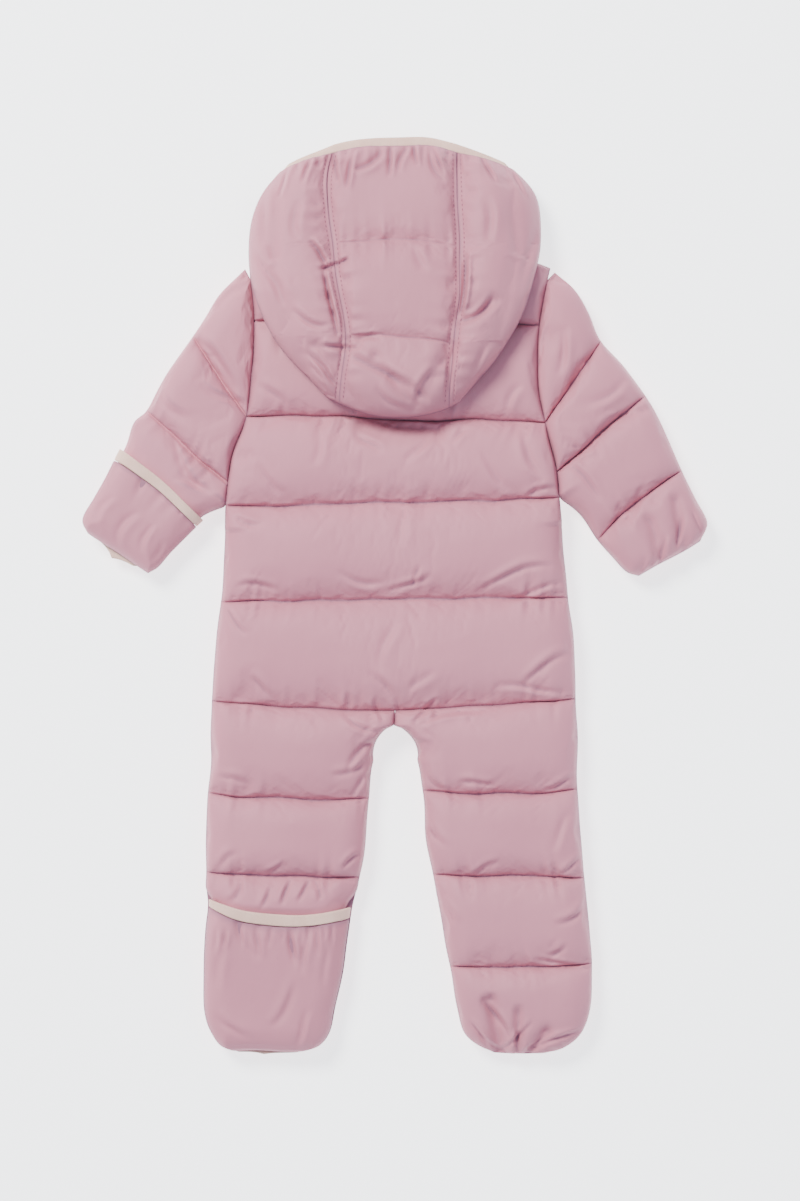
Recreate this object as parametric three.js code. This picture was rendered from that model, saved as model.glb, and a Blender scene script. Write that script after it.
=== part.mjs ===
import * as THREE from 'three';

// Baby snowsuit in padded, quilted cloth, laid face down with its hood folded on its back.
// Millimetres. +Z is up, +Y points to the hood and +X to the wearer's right hand.
// The front lies on the floor and the back lies on the front.

// Walls and layers
const SEAM_GAP = 0.3;
const HALF_GAP = SEAM_GAP / 2;
const LAYER = 17; // height of the plane where the back lies on the front
const UNDER_WALL = LAYER - HALF_GAP; // front wall in the middle of a channel
const UNDER_GROOVE = 5; // how far a line of quilting is drawn up from the floor
const UNDER_SEAM_WALL = 9; // front wall at an armhole
const SEAM_WALL = 4; // wall on a line of quilting or at a seam
const SIDE_WALL = 1; // wall at a side seam
const SIDE_ROLL = 24; // width of the rounding along a free side
const SEAM_ROLL = 15; // width of the rounding along a sewn side
const CHANNEL_POWER = 2.4; // fullness of a padded channel
const ARMHOLE_GAP = 0.6;
const FLAP_WALL = 2.5;
const FLAP_RISE = 17.7; // height of a turned back flap above the layer plane
const FLAP_INSET = 4.2; // how far the padded end is drawn in under a flap
const PRESSED = 0.24; // share of the wall that a closed flap takes from the front

// Zip and its opening
const ZIP_HALF_OPENING = 9;
const ZIP = { tapeInner: 2.9, tapeOuter: 8.6, tapeLow: 12.9, tapeHigh: 14.1 };
const CHAIN = { halfWidth: 2.6, low: 12.9, high: 15.1, top: 254, bottom: -30 };
const SLIDER = { halfWidth: 4.5, low: 9.2, high: 12.6, top: 254, bottom: 241 };
const PULL = { halfWidth: 3.5, low: 7.4, high: 8.9, top: 250, bottom: 214 };

// Hood
const HOOD_PUFF = 10;
const HOOD_LIP = 3;
const HOOD_SIDE_ROLL = 46;
const HOOD_RIM_ROLL = 30;
const HOOD_SEAM_ROLL = 17;
const BINDING_SHARE = 0.22; // part of the first row of the hood that the binding takes
const BINDING_WALL = 3.4;
const NAPE_FLOOR = 36.45; // height of the back's highest padding, on which the nape lies

const mix = THREE.MathUtils.lerp;
const clamp = THREE.MathUtils.clamp;

// Turns rows of numbers into objects with the named columns.
function table(columns, rows) {
  return rows.map((row) => Object.fromEntries(columns.map((name, i) => [name, row[i]])));
}

// Each row crosses a panel from its end a to its end b. quilt marks a sewn line, sag bends
// the row at its middle, wall is the thickness on it, puff the rise of the channel after it,
// and edgeA and edgeB the thickness at its two ends.
const PANEL_COLUMNS = ['ax', 'ay', 'bx', 'by', 'sag', 'quilt', 'wall', 'puff', 'edgeA', 'edgeB'];

const TORSO_ROWS = table(PANEL_COLUMNS, [
  [-123.8, 278, 132.4, 277.4, 24, 1, 3, 13, 3, 3],
  [-118.7, 232, 123, 230, 0, 1, 4, 15, 4, 4],
  [-120.6, 190, 121.7, 190, 0, 0, 4, 15, 4, 4],
  [-126.4, 152.4, 129, 145.6, 1, 1, 4, 15, 4, 4],
  [-138.3, 113, 135, 113, 0, 0, 4, 15, 4, 4],
  [-143.9, 76, 139.4, 83, -1.5, 1, 4, 15, 3, 3],
  [-145.5, 34, 143.5, 38, 0, 0, 4, 15, 1, 1],
  [-148, -5.7, 148, -0.9, 0, 1, 4, 15, 1, 1],
  [-152, -47, 152.2, -45, 0, 0, 4, 15, 1, 1],
  [-155, -89, 152.9, -87, -9.5, 1, 4, 15, 1, 1],
]);
const YOKE_SEAM_ROW = 3;

const LEG_LEFT_ROWS = table(PANEL_COLUMNS, [
  [-155, -89.3, -0.15, -97.8, -2.4, 1, 4, 15, 1, 4],
  [-155.6, -113, -0.15, -112.5, 0, 0, 4, 15, 1, 3],
  [-156.6, -140, -16.5, -138, 0, 0, 4, 15, 1, 1],
  [-158.7, -168, -22.5, -172, -3, 1, 4, 15, 1, 1],
  [-159.8, -203, -24.5, -205, 0, 0, 4, 15, 1, 1],
  [-160.5, -234, -31, -240, 0, 1, 4, 10, 1, 1],
  [-160.3, -249, -33.3, -252, 0, 0, 4, 10, 1, 1],
  [-158.4, -262, -36, -264, 0, 0, 4, 10, 1, 1],
  [-161.5, -285, -38.5, -287, 0, 0, 4, 10, 1, 1],
  [-161.5, -316, -43, -316, 0, 1, 4, 10, 1, 1],
  [-161.3, -352, -50.5, -352, 0, 0, 4, 10, 1, 1],
  [-157.8, -369, -54, -371, 0, 0, 4, 10, 1, 1],
  [-149, -382.5, -62, -382, 0, 0, 4, 10, 1, 1],
  [-135, -388, -80, -387.3, 0, 1, 1, 10, 1, 1],
]);

const LEG_RIGHT_ROWS = table(PANEL_COLUMNS, [
  [0.15, -97.8, 152.9, -87.3, -2.4, 1, 4, 15, 4, 1],
  [0.15, -112.5, 154, -112, 0, 0, 4, 15, 3, 1],
  [17.5, -136, 155, -138, 0, 0, 4, 15, 1, 1],
  [24, -166, 155.5, -164, -3.5, 1, 4, 15, 1, 1],
  [26.5, -202, 158.5, -201, 0, 0, 4, 15, 1, 1],
  [32.3, -237, 162.3, -239, 0, 1, 4, 15, 1, 1],
  [37, -263, 163.4, -263, 0, 0, 4, 15, 1, 1],
  [41.5, -287, 166.3, -287, 0, 0, 4, 15, 1, 1],
  [46.5, -313, 168.2, -312.5, -3, 1, 4, 15, 1, 1],
  [52.5, -350, 166, -348, 0, 0, 4, 15, 1, 1],
  [59, -372, 157, -373, 0, 0, 4, 15, 1, 1],
  [71, -382.5, 143, -385, 0, 0, 4, 15, 1, 1],
  [86, -388.3, 128, -388.5, 0, 1, 1, 15, 1, 1],
]);

// Sleeve rows run from the fold along the arm's outer side, end a, to the inner side, end b.
// Down to the underarm, end b lies on the armhole, at the torso row that arm names.
const SLEEVE_COLUMNS = ['ax', 'ay', 'bx', 'by', 'arm', 'sag', 'quilt', 'wall', 'puff'];

const SLEEVE_LEFT_ROWS = table(SLEEVE_COLUMNS, [
  [-128, 277.5, 0, 0, 0.2, 0, 1, 2.5, 14],
  [-149, 256, 0, 0, 1, 0, 0, 4, 14],
  [-161, 238, 0, 0, 2, 0, 0, 4, 14],
  [-173, 220.4, 0, 0, 3, 0, 1, 4, 15],
  [-192.5, 191.5, 0, 0, 3.7, 0, 0, 4, 15],
  [-211.4, 156, 0, 0, 4.45, 0, 1, 4, 10],
  [-222, 146, -144.5, 75.6, 5, 0, 0, 4, 10],
  [-231, 130, -160, 64.5, 5, 0, 0, 4, 10],
  [-244, 107, -173.5, 51, 5, 0, 1, 4, 10],
  [-257, 83, -187, 36.5, 5, 0, 0, 4, 10],
  [-265.8, 64, -199, 23, 5, 0, 0, 4, 10],
  [-261, 52.5, -209, 18, 5, 0, 1, 1.5, 10],
]);

const SLEEVE_RIGHT_ROWS = table(SLEEVE_COLUMNS, [
  [136.5, 274.5, 0, 0, 0.2, 0, 1, 2.5, 14],
  [153, 259.5, 0, 0, 1, 0, 0, 4, 14],
  [165, 241, 0, 0, 2, 0, 0, 4, 14],
  [175.4, 218, 0, 0, 3, 0, 1, 4, 15],
  [194, 195, 0, 0, 3.7, 0, 0, 4, 15],
  [213.4, 168.5, 0, 0, 4.3, 0, 1, 4, 15],
  [229, 139, 140.2, 82, 5, 0, 0, 4, 15],
  [237, 122.5, 157, 68, 5, 0, 0, 4, 15],
  [244.6, 106.5, 172, 46.5, 5, 4, 1, 4, 15],
  [257, 82, 185, 32, 5, 0, 0, 4, 15],
  [266.5, 62, 198, 19.5, 5, 0, 0, 4, 15],
  [260.5, 47.5, 208, 16.5, 5, 0, 1, 1.5, 15],
]);
const SLEEVE_UNDERARM_ROW = 6;

// Largest creases of the outer cloth, from one end to the other.
const FOLDS = table(['x1', 'y1', 'x2', 'y2', 'width', 'depth'], [
  [80.2, -344, 92.1, -386, 7, 7],
  [128, -370, 113.4, -388, 6, 6],
  [104, -352, 107, -388, 6, 4],
  [-16, 199, -36, 158, 9, 5],
  [45, 207, 25, 168, 9, 5],
  [238, 80, 244, 36, 7, 5],
  [216, 62, 226, 28, 7, 4],
]);

// Rows of the folded hood from its face edge to its rim. edge and crest are heights of the
// cloth at its sides and along its middle, and bow bends the row of the centre panel.
const HOOD_COLUMNS = [
  'leftX', 'leftY', 'seamLeftX', 'seamLeftY', 'seamRightX', 'seamRightY', 'rightX', 'rightY',
  'bow', 'edge', 'crest', 'quilt',
];
const HOOD_ROWS = table(HOOD_COLUMNS, [
  [-92, 365, -51, 382.5, 53, 381.5, 97, 365.5, 7, 13, 25, 1],
  [-114, 340, -57, 344, 53, 344, 119, 341, 5, 13, 40, 0],
  [-124.7, 296, -51.5, 293.7, 54.5, 292.7, 123, 297, 5, 22, 50, 1],
  [-118.5, 256, -47, 254, 53.5, 252, 114, 253, 3, 39, 59, 0],
  [-101, 215, -41, 217, 48.5, 210, 96.5, 214, 4, 41, 62, 1],
  [-72, 181, -43.5, 183, 46.5, 182, 70, 180, -1, 41, 62, 0],
  [-57, 166, -46.5, 160.5, 45.3, 158.7, 54, 162.5, -9, 41, 62, 1],
]);
const HOOD_SIDE_FOLDS = table(['x1', 'y1', 'x2', 'y2', 'width', 'depth'], [
  [-99, 350, -100, 285, 8, 5],
  [-98, 275, -75, 190, 7, 4],
  [96, 345, 103, 290, 8, 5],
  [101, 280, 86, 212, 7, 4],
  [-66, 206, -30, 160, 10, 6],
  [84, 246, 56, 232, 9, 5],
]);

const rose = new THREE.MeshStandardMaterial({ color: 0xcbaab0, roughness: 0.6, metalness: 0 });
const thinRose = new THREE.MeshStandardMaterial({ color: 0xc6a4ab, roughness: 0.6, metalness: 0 });
const beige = new THREE.MeshStandardMaterial({ color: 0xe0ccc0, roughness: 0.8, metalness: 0 });
const zipCloth = new THREE.MeshStandardMaterial({ color: 0xb9969e, roughness: 0.8, metalness: 0 });
const steel = new THREE.MeshStandardMaterial({ color: 0xb8b8bc, roughness: 0.35, metalness: 1 });

// Rise from 0 at an edge to 1 at the given reach from it, as a quarter circle.
function rounded(distance, reach) {
  const share = clamp(distance / reach, 0, 1);
  return Math.sqrt(1 - (1 - share) ** 2);
}

// Rise of the padding across a channel, 0 on its two sewn lines and 1 between them.
function channelRise(share) {
  return Math.sqrt(Math.max(0, 1 - Math.abs(2 * share - 1) ** CHANNEL_POWER));
}

// Smooth curve through three columns of the rows, by row number.
function curveOf(rows, columns) {
  const points = rows.map((row) => new THREE.Vector3(...columns.map((name) => row[name])));
  const curve = new THREE.CatmullRomCurve3(points, false, 'centripetal');
  return (v) => curve.getPoint(v / (rows.length - 1));
}

// Straight interpolation of one column, by row number.
function valueAt(rows, column, v) {
  const i = Math.min(Math.floor(v), rows.length - 2);
  return mix(rows[i][column], rows[i + 1][column], v - i);
}

// Depth of the creases at a point.
function foldDepth(folds, x, y) {
  let depth = 0;
  for (const fold of folds) {
    const dx = fold.x2 - fold.x1;
    const dy = fold.y2 - fold.y1;
    const share = clamp(((x - fold.x1) * dx + (y - fold.y1) * dy) / (dx * dx + dy * dy), 0, 1);
    const distance = Math.hypot(x - fold.x1 - share * dx, y - fold.y1 - share * dy);
    depth = Math.max(depth, fold.depth * Math.exp(-((distance / fold.width) ** 2)));
  }
  return depth;
}

// A panel is its rows, the curves of its two ends and the length down to each row. ownSide
// is the sign of x that a panel next to the middle keeps to.
function makePanel(rows, endB, ownSide = 0) {
  const endA = curveOf(rows, ['ax', 'ay', 'sag']);
  const panel = { rows, endA, endB: endB ?? curveOf(rows, ['bx', 'by', 'sag']), ownSide };
  const middle = (i) => panel.endA(i).add(panel.endB(i)).multiplyScalar(0.5);
  panel.lengths = [{ down: 0 }];
  for (let i = 1; i < rows.length; i += 1) {
    const step = middle(i).distanceTo(middle(i - 1));
    panel.lengths.push({ down: panel.lengths[i - 1].down + step });
  }
  return panel;
}

function lengthAt(panel, v) {
  return valueAt(panel.lengths, 'down', v);
}

// Row number at a length down the panel.
function rowAtLength(panel, length) {
  let i = 0;
  while (i < panel.lengths.length - 2 && panel.lengths[i + 1].down < length) i += 1;
  const from = panel.lengths[i].down;
  return i + (length - from) / (panel.lengths[i + 1].down - from);
}

// First and last row of the channel that holds row number v, and the share across it.
function channelAt(panel, v) {
  const { rows } = panel;
  let start = 0;
  rows.forEach((row, i) => {
    if (row.quilt && i <= v && i < rows.length - 1) start = i;
  });
  const end = rows.findIndex((row, i) => row.quilt && i > start);
  const from = lengthAt(panel, start);
  const share = (lengthAt(panel, v) - from) / (lengthAt(panel, end) - from);
  return { start, end, share: clamp(share, 0, 1) };
}

// Row numbers at which a panel is sampled between v0 and v1.
const CHANNEL_SHARES = [0, 0.07, 0.22, 0.5, 0.78, 0.93];
const FRONT_SHARES = [0, 0.08, 0.26, 0.74, 0.92];
function rowSteps(panel, v0, v1, shares = CHANNEL_SHARES) {
  const steps = [v0];
  panel.rows.forEach((row, i) => {
    if (!row.quilt || i === panel.rows.length - 1) return;
    const { end } = channelAt(panel, i);
    const from = lengthAt(panel, i);
    const span = lengthAt(panel, end) - from;
    for (const share of shares) {
      const v = rowAtLength(panel, from + share * span);
      if (v > v0 + 0.02 && v < v1 - 0.02) steps.push(v);
    }
  });
  steps.push(v1);
  return steps;
}

// Shares across a panel, closer together at its two ends.
function columnSteps(count) {
  const near = [0, 0.02, 0.065, 0.13];
  const inner = Array.from({ length: count }, (_, i) => mix(0.13, 0.87, (i + 1) / (count + 1)));
  return [...near, ...inner, ...near.map((share) => 1 - share).reverse()];
}

function evenSteps(from, to, count) {
  return Array.from({ length: count + 1 }, (_, i) => mix(from, to, i / count));
}

// Place of a point on a panel, seen from above, and its distance to the ends of its row.
function planPoint(panel, u, v) {
  const a = panel.endA(v);
  const b = panel.endB(v);
  const width = Math.hypot(b.x - a.x, b.y - a.y);
  const bend = 4 * u * (1 - u) * valueAt(panel.rows, 'sag', v);
  const straight = mix(a.x, b.x, u);
  const x = panel.ownSide ? panel.ownSide * Math.max(panel.ownSide * straight, HALF_GAP) : straight;
  return { x, y: mix(a.y, b.y, u) + bend, fromA: u * width, fromB: (1 - u) * width };
}

// Wall in the middle of the panel at row number v: the back's rises from its sewn lines, and
// the front's is flat on the floor between them.
function fullWall(panel, v, side) {
  const { start, end, share } = channelAt(panel, v);
  const rise = channelRise(share);
  const first = panel.rows[start];
  const last = panel.rows[end];
  if (side > 0) return mix(first.wall, last.wall, share) + first.puff * rise;
  const drawn = (row) => (row.wall < SEAM_WALL ? row.wall : UNDER_WALL - UNDER_GROOVE);
  const low = mix(drawn(first), drawn(last), share);
  const pressed = valueAt(panel.rows, 'pressed', v) || 0;
  return mix(low, UNDER_WALL, Math.min(1, rise / 0.8)) * (1 - pressed);
}

function endWall(edge, side) {
  return side < 0 && edge > SIDE_WALL + 1 ? UNDER_SEAM_WALL : edge;
}

// Outer surface of a panel of the back (side 1) or of the front (side -1).
function outerPoint(panel, u, v, side) {
  const at = planPoint(panel, u, v);
  const full = fullWall(panel, v, side);
  const edgeA = endWall(valueAt(panel.rows, 'edgeA', v), side);
  const edgeB = endWall(valueAt(panel.rows, 'edgeB', v), side);
  const reachA = edgeA > SIDE_WALL + 1 ? SEAM_ROLL : SIDE_ROLL;
  const reachB = edgeB > SIDE_WALL + 1 ? SEAM_ROLL : SIDE_ROLL;
  const fromA = mix(Math.min(edgeA, full), full, rounded(at.fromA, reachA));
  const fromB = mix(Math.min(edgeB, full), full, rounded(at.fromB, reachB));
  let wall = Math.min(fromA, fromB);
  if (side > 0) wall = Math.max(wall - foldDepth(FOLDS, at.x, at.y), Math.min(wall, SIDE_WALL));
  return new THREE.Vector3(at.x, at.y, LAYER + side * (HALF_GAP + wall));
}

// Plain inner side of the same panel.
function innerPoint(panel, u, v, side) {
  const at = planPoint(panel, u, v);
  return new THREE.Vector3(at.x, at.y, LAYER + side * HALF_GAP);
}

// Triangles between two chains of vertices that run the same way.
function stitch(lower, upper, faces) {
  let i = 0;
  let j = 0;
  while (i < lower.length - 1 || j < upper.length - 1) {
    const lowerNext = i < lower.length - 1 ? lower[i + 1].at : Infinity;
    const upperNext = j < upper.length - 1 ? upper[j + 1].at : Infinity;
    if (lowerNext <= upperNext) {
      faces.push([lower[i].id, lower[i + 1].id, upper[j].id]);
      i += 1;
    } else {
      faces.push([lower[i].id, upper[j + 1].id, upper[j].id]);
      j += 1;
    }
  }
}

// Closed wall between an outer and an inner surface. The plain inner one has every
// coarse-th column only, apart from its borders.
function wallGeometry(outer, inner, us, vs, coarse = 1, curved = false) {
  const points = [];
  const faces = [];
  const add = (point) => points.push(point) - 1;
  const lastRow = vs.length - 1;
  const lastColumn = us.length - 1;
  const nearEnd = (i) => i === lastColumn || (curved && (i < coarse || i > lastColumn - coarse));
  const kept = (i, j) => j === 0 || j === lastRow || nearEnd(i) || i % coarse === 0;
  const outerRows = vs.map((v) => us.map((u, i) => ({ at: i, id: add(outer(u, v)) })));
  const innerRows = vs.map((v, j) => us.flatMap((u, i) => (
    kept(i, j) ? [{ at: i, id: add(inner(u, v)) }] : []
  )));
  const chain = (rows, pick) => rows.map((row, j) => ({ at: j, id: row.at(pick).id }));
  for (let j = 0; j < lastRow; j += 1) {
    stitch(outerRows[j], outerRows[j + 1], faces);
    stitch([...innerRows[j + 1]], [...innerRows[j]], faces);
  }
  stitch(innerRows[0], outerRows[0], faces);
  stitch(outerRows[lastRow], innerRows[lastRow], faces);
  stitch(chain(outerRows, 0), chain(innerRows, 0), faces);
  stitch(chain(innerRows, -1), chain(outerRows, -1), faces);
  return closedGeometry(points, faces);
}

// Geometry of a closed body, with its faces turned outwards.
function closedGeometry(points, faces) {
  const cross = new THREE.Vector3();
  let volume = 0;
  for (const [a, b, c] of faces) {
    volume += points[a].dot(cross.crossVectors(points[b], points[c]));
  }
  const turned = volume > 0 ? faces : faces.map(([a, b, c]) => [a, c, b]);
  const geometry = new THREE.BufferGeometry().setFromPoints(points);
  geometry.setIndex(turned.flat());
  geometry.computeVertexNormals();
  return geometry;
}

const snowsuit = new THREE.Group();

function addNode(name, geometry, material) {
  const mesh = new THREE.Mesh(geometry, material);
  mesh.name = name;
  snowsuit.add(mesh);
}

function addPanel(name, panel, side, v0, v1, columns) {
  const outer = (u, v) => outerPoint(panel, u, v, side);
  const inner = (u, v) => innerPoint(panel, u, v, side);
  const us = columnSteps(columns);
  const vs = rowSteps(panel, v0, v1, side > 0 ? CHANNEL_SHARES : FRONT_SHARES);
  addNode(name, wallGeometry(outer, inner, us, vs, 4), rose);
}

// The same rows, drawn in at both ends from the given row on, where a flap lies on them.
function drawnIn(rows, from) {
  return rows.map((row, i) => {
    if (i < from) return { ...row, pressed: 0 };
    const width = Math.hypot(row.bx - row.ax, row.by - row.ay);
    const share = FLAP_INSET / width;
    const lift = i === rows.length - 1 ? FLAP_INSET : 0;
    return {
      ...row,
      ax: mix(row.ax, row.bx, share),
      ay: mix(row.ay, row.by, share) + lift,
      bx: mix(row.bx, row.ax, share),
      by: mix(row.by, row.ay, share) + lift,
      pressed: PRESSED,
    };
  });
}

// Half of the torso's front, from its side to the edge of the zip's opening.
const FRONT_NECK_DROP = -38;
const FRONT_SHOULDER_RISE = 18;
function frontRows(sideEnd) {
  const last = TORSO_ROWS.length - 1;
  return TORSO_ROWS.map((row, i) => {
    const sign = sideEnd === 'a' ? -1 : 1;
    const centreX = sign * (i < last ? ZIP_HALF_OPENING : HALF_GAP);
    const centreY = (row.ay + row.by) / 2 + row.sag + (i === 0 ? FRONT_NECK_DROP : 0);
    const sag = i === 0 ? FRONT_SHOULDER_RISE : row.sag / 4;
    const centre = { x: centreX, y: centreY };
    const start = sideEnd === 'a' ? { x: row.ax, y: row.ay } : centre;
    const end = sideEnd === 'a' ? centre : { x: row.bx, y: row.by };
    const seam = i === last ? SEAM_WALL : UNDER_SEAM_WALL;
    return {
      ...row, ax: start.x, ay: start.y, bx: end.x, by: end.y, sag,
      edgeA: sideEnd === 'a' ? row.edgeA : seam, edgeB: sideEnd === 'a' ? seam : row.edgeB,
    };
  });
}

// Torso
const torso = makePanel(TORSO_ROWS);
const YOKE_GAP_ROWS = 0.0075;
addPanel('back_yoke', torso, 1, 0, YOKE_SEAM_ROW, 8);
addPanel('back_torso', torso, 1, YOKE_SEAM_ROW + YOKE_GAP_ROWS, TORSO_ROWS.length - 1, 8);
for (const [name, end] of [['front_left', 'a'], ['front_right', 'b']]) {
  addPanel(name, makePanel(frontRows(end)), -1, 0, TORSO_ROWS.length - 1, 2);
}

// Legs. The left foot's flap is turned back over the back of the leg, and the right foot's
// flap is closed round to the front.
const LEG_FLAP_ROW = 6;
const legs = {
  left: { rows: LEG_LEFT_ROWS, flapSide: 1, ownSide: -1 },
  right: { rows: LEG_RIGHT_ROWS, flapSide: -1, ownSide: 1 },
};
for (const [name, leg] of Object.entries(legs)) {
  const lastRow = leg.rows.length - 1;
  const plain = makePanel(leg.rows, null, leg.ownSide);
  const drawn = makePanel(drawnIn(leg.rows, LEG_FLAP_ROW), null, leg.ownSide);
  addPanel(`leg_back_${name}`, leg.flapSide > 0 ? drawn : plain, 1, 0, lastRow, 5);
  addPanel(`leg_front_${name}`, leg.flapSide < 0 ? drawn : plain, -1, 0, lastRow, 2);
}

// Sleeves. Each is one piece folded along its outer side, open along the armhole and joined
// under the arm.
function makeSleeve(rows, armholeEnd, outward) {
  const below = curveOf(rows.slice(SLEEVE_UNDERARM_ROW), ['bx', 'by', 'sag']);
  const endB = (v) => {
    if (v > SLEEVE_UNDERARM_ROW) return below(v - SLEEVE_UNDERARM_ROW);
    const point = armholeEnd(valueAt(rows, 'arm', v));
    return new THREE.Vector3(point.x + outward * ARMHOLE_GAP, point.y, 0);
  };
  return makePanel(rows, endB);
}

// Surface of a sleeve. u runs from the inner side over the back to the fold at 0.5, and
// under the front to the inner side again.
function sleeveOuter(panel, u, v) {
  const side = u <= 0.5 ? 1 : -1;
  const across = 1 - Math.abs(2 * u - 1);
  const at = planPoint(panel, 1 - across, v);
  const full = fullWall(panel, v, side);
  const seam = endWall(v < SLEEVE_UNDERARM_ROW ? SEAM_WALL : SIDE_WALL, side);
  const reach = v < SLEEVE_UNDERARM_ROW ? SEAM_ROLL : SIDE_ROLL;
  const fromFold = full * rounded(at.fromA, SIDE_ROLL);
  const fromSeam = mix(Math.min(seam, full), full, rounded(at.fromB, reach));
  let wall = Math.min(fromFold, fromSeam);
  if (side > 0) wall = Math.max(wall - foldDepth(FOLDS, at.x, at.y), Math.min(wall, SIDE_WALL));
  const gap = across === 1 ? 0 : HALF_GAP;
  return new THREE.Vector3(at.x, at.y, LAYER + side * (gap + wall));
}

const FOLD_WALL = 3; // wall of a sleeve at its outer fold
function sleeveInner(panel, u, v) {
  const side = u <= 0.5 ? 1 : -1;
  const across = 1 - Math.abs(2 * u - 1);
  const at = planPoint(panel, 1 - across, v);
  const share = across * FOLD_WALL / (at.fromA + at.fromB);
  const b = panel.endB(v);
  const gap = across === 1 ? 0 : HALF_GAP;
  return new THREE.Vector3(mix(at.x, b.x, share), mix(at.y, b.y, share), LAYER + side * gap);
}

const SLEEVE_FLAP_ROW = 7;
const sleeveBack = columnSteps(4).map((share) => share / 2);
const sleeveFront = columnSteps(0).map((share) => 1 - share / 2).reverse().slice(1);
const sleeveColumns = [...sleeveBack, ...sleeveFront];
const sleeves = {
  left: { rows: SLEEVE_LEFT_ROWS, armhole: torso.endA, outward: -1, flapSide: 1 },
  right: { rows: SLEEVE_RIGHT_ROWS, armhole: torso.endB, outward: 1, flapSide: -1 },
};
for (const [name, sleeve] of Object.entries(sleeves)) {
  const drawn = makeSleeve(drawnIn(sleeve.rows, SLEEVE_FLAP_ROW), sleeve.armhole, sleeve.outward);
  sleeve.drawn = drawn;
  sleeve.plain = makeSleeve(sleeve.rows, sleeve.armhole, sleeve.outward);
  const outer = (u, v) => sleeveOuter(drawn, u, v);
  const inner = (u, v) => sleeveInner(drawn, u, v);
  const vs = rowSteps(drawn, 0, sleeve.rows.length - 1);
  addNode(`sleeve_${name}`, wallGeometry(outer, inner, sleeveColumns, vs, 4), rose);
}

// Flaps over hand and foot. Each is a thin cap over the end of its sleeve or leg, on the
// back or on the front, with gathers that fade from its elastic band.
const FLAPS = table(
  ['name', 'part', 'side', 'startA', 'startB', 'bend', 'band', 'gathers', 'depth'],
  [
    ['hand_left', 'left', 1, 7.22, 7.12, -0.12, 0.4, 9, 1.8],
    ['hand_right', 'right', -1, 7.22, 7.12, -0.12, 0.4, 9, 0],
    ['foot_left', 'left', 1, 6.68, 7.05, 0.5, 0.42, 13, 2.2],
    ['foot_right', 'right', -1, 6.3, 6.3, 0.3, 0.36, 13, 0],
  ],
);

// Surface of a flap at row number v. drop lowers it towards the layer plane.
function flapPoint(panel, side, u, v, drop) {
  const at = planPoint(panel, u, v);
  const height = side > 0 ? FLAP_RISE : LAYER - 2 * SEAM_GAP;
  const toEnd = lengthAt(panel, panel.rows.length - 1) - lengthAt(panel, v);
  const rise = rounded(Math.min(at.fromA, at.fromB, toEnd), SIDE_ROLL);
  return { at, rise, z: LAYER + side * (2 * SEAM_GAP + (height - drop) * rise) };
}

// Wall of a cap between two lines across the limb, each a function from u to a row number.
function capGeometry(panel, flap, from, to, us, shares, gather) {
  const isEnd = to(0) === panel.rows.length - 1;
  const outer = (u, share) => {
    const { at, rise, z } = flapPoint(panel, flap.side, u, mix(from(u), to(u), share), 0);
    const wave = 0.5 - 0.5 * Math.cos(2 * Math.PI * flap.gathers * u);
    const depth = gather * (1 - share) ** 2 * rise * wave;
    return new THREE.Vector3(at.x, at.y, z - flap.side * depth);
  };
  // The inner side is drawn in by the wall at the sides, and a little at the end.
  const inner = (u, share) => {
    const v = mix(from(u), to(u), share);
    const at = planPoint(panel, u, v);
    const inset = (FLAP_WALL / (at.fromA + at.fromB)) * (1 - 2 * u);
    const drawn = planPoint(panel, u + inset, v - (isEnd ? END_INSET_ROWS * share ** 6 : 0));
    const { z } = flapPoint(panel, flap.side, u, v, FLAP_WALL);
    return new THREE.Vector3(drawn.x, drawn.y, z - flap.side * FLAP_EDGE);
  };
  return wallGeometry(outer, inner, us, shares, 4, true);
}

const END_INSET_ROWS = 0.12;
const FLAP_EDGE = 0.2; // thickness of a flap at its very sides
const FLAP_SIDE = 0.004; // share of the row that a flap leaves free at each side
const FLAP_SHARES = [0, 0.12, 0.3, 0.55, 0.76, 0.89, 0.96, 1];
const BAND_SHARES = [0, 0.25, 0.75, 1];
const ROWS_TO_BAND = 0.01;
const COLUMNS_PER_GATHER = 4;
function addFlap(flap, panel) {
  const lastRow = panel.rows.length - 1;
  const start = (u) => mix(flap.startA, flap.startB, u) + 4 * u * (1 - u) * flap.bend;
  const bandEnd = (u) => start(u) + flap.band;
  const clothStart = (u) => bandEnd(u) + ROWS_TO_BAND;
  const plain = columnSteps(5).map((share) => mix(FLAP_SIDE, 1 - FLAP_SIDE, share));
  const waved = evenSteps(FLAP_SIDE, 1 - FLAP_SIDE, flap.gathers * COLUMNS_PER_GATHER);
  const us = flap.depth ? waved : plain;
  const cloth = capGeometry(panel, flap, clothStart, () => lastRow, us, FLAP_SHARES, flap.depth);
  const band = capGeometry(panel, flap, start, bandEnd, plain, BAND_SHARES, 0);
  const [limb, end] = flap.name.split('_');
  addNode(`${limb}_flap_${end}`, cloth, thinRose);
  addNode(`${limb}_band_${end}`, band, beige);
}

for (const flap of FLAPS) {
  const hand = flap.name.startsWith('hand');
  addFlap(flap, hand ? sleeves[flap.part].plain : makePanel(legs[flap.part].rows));
}

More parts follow.
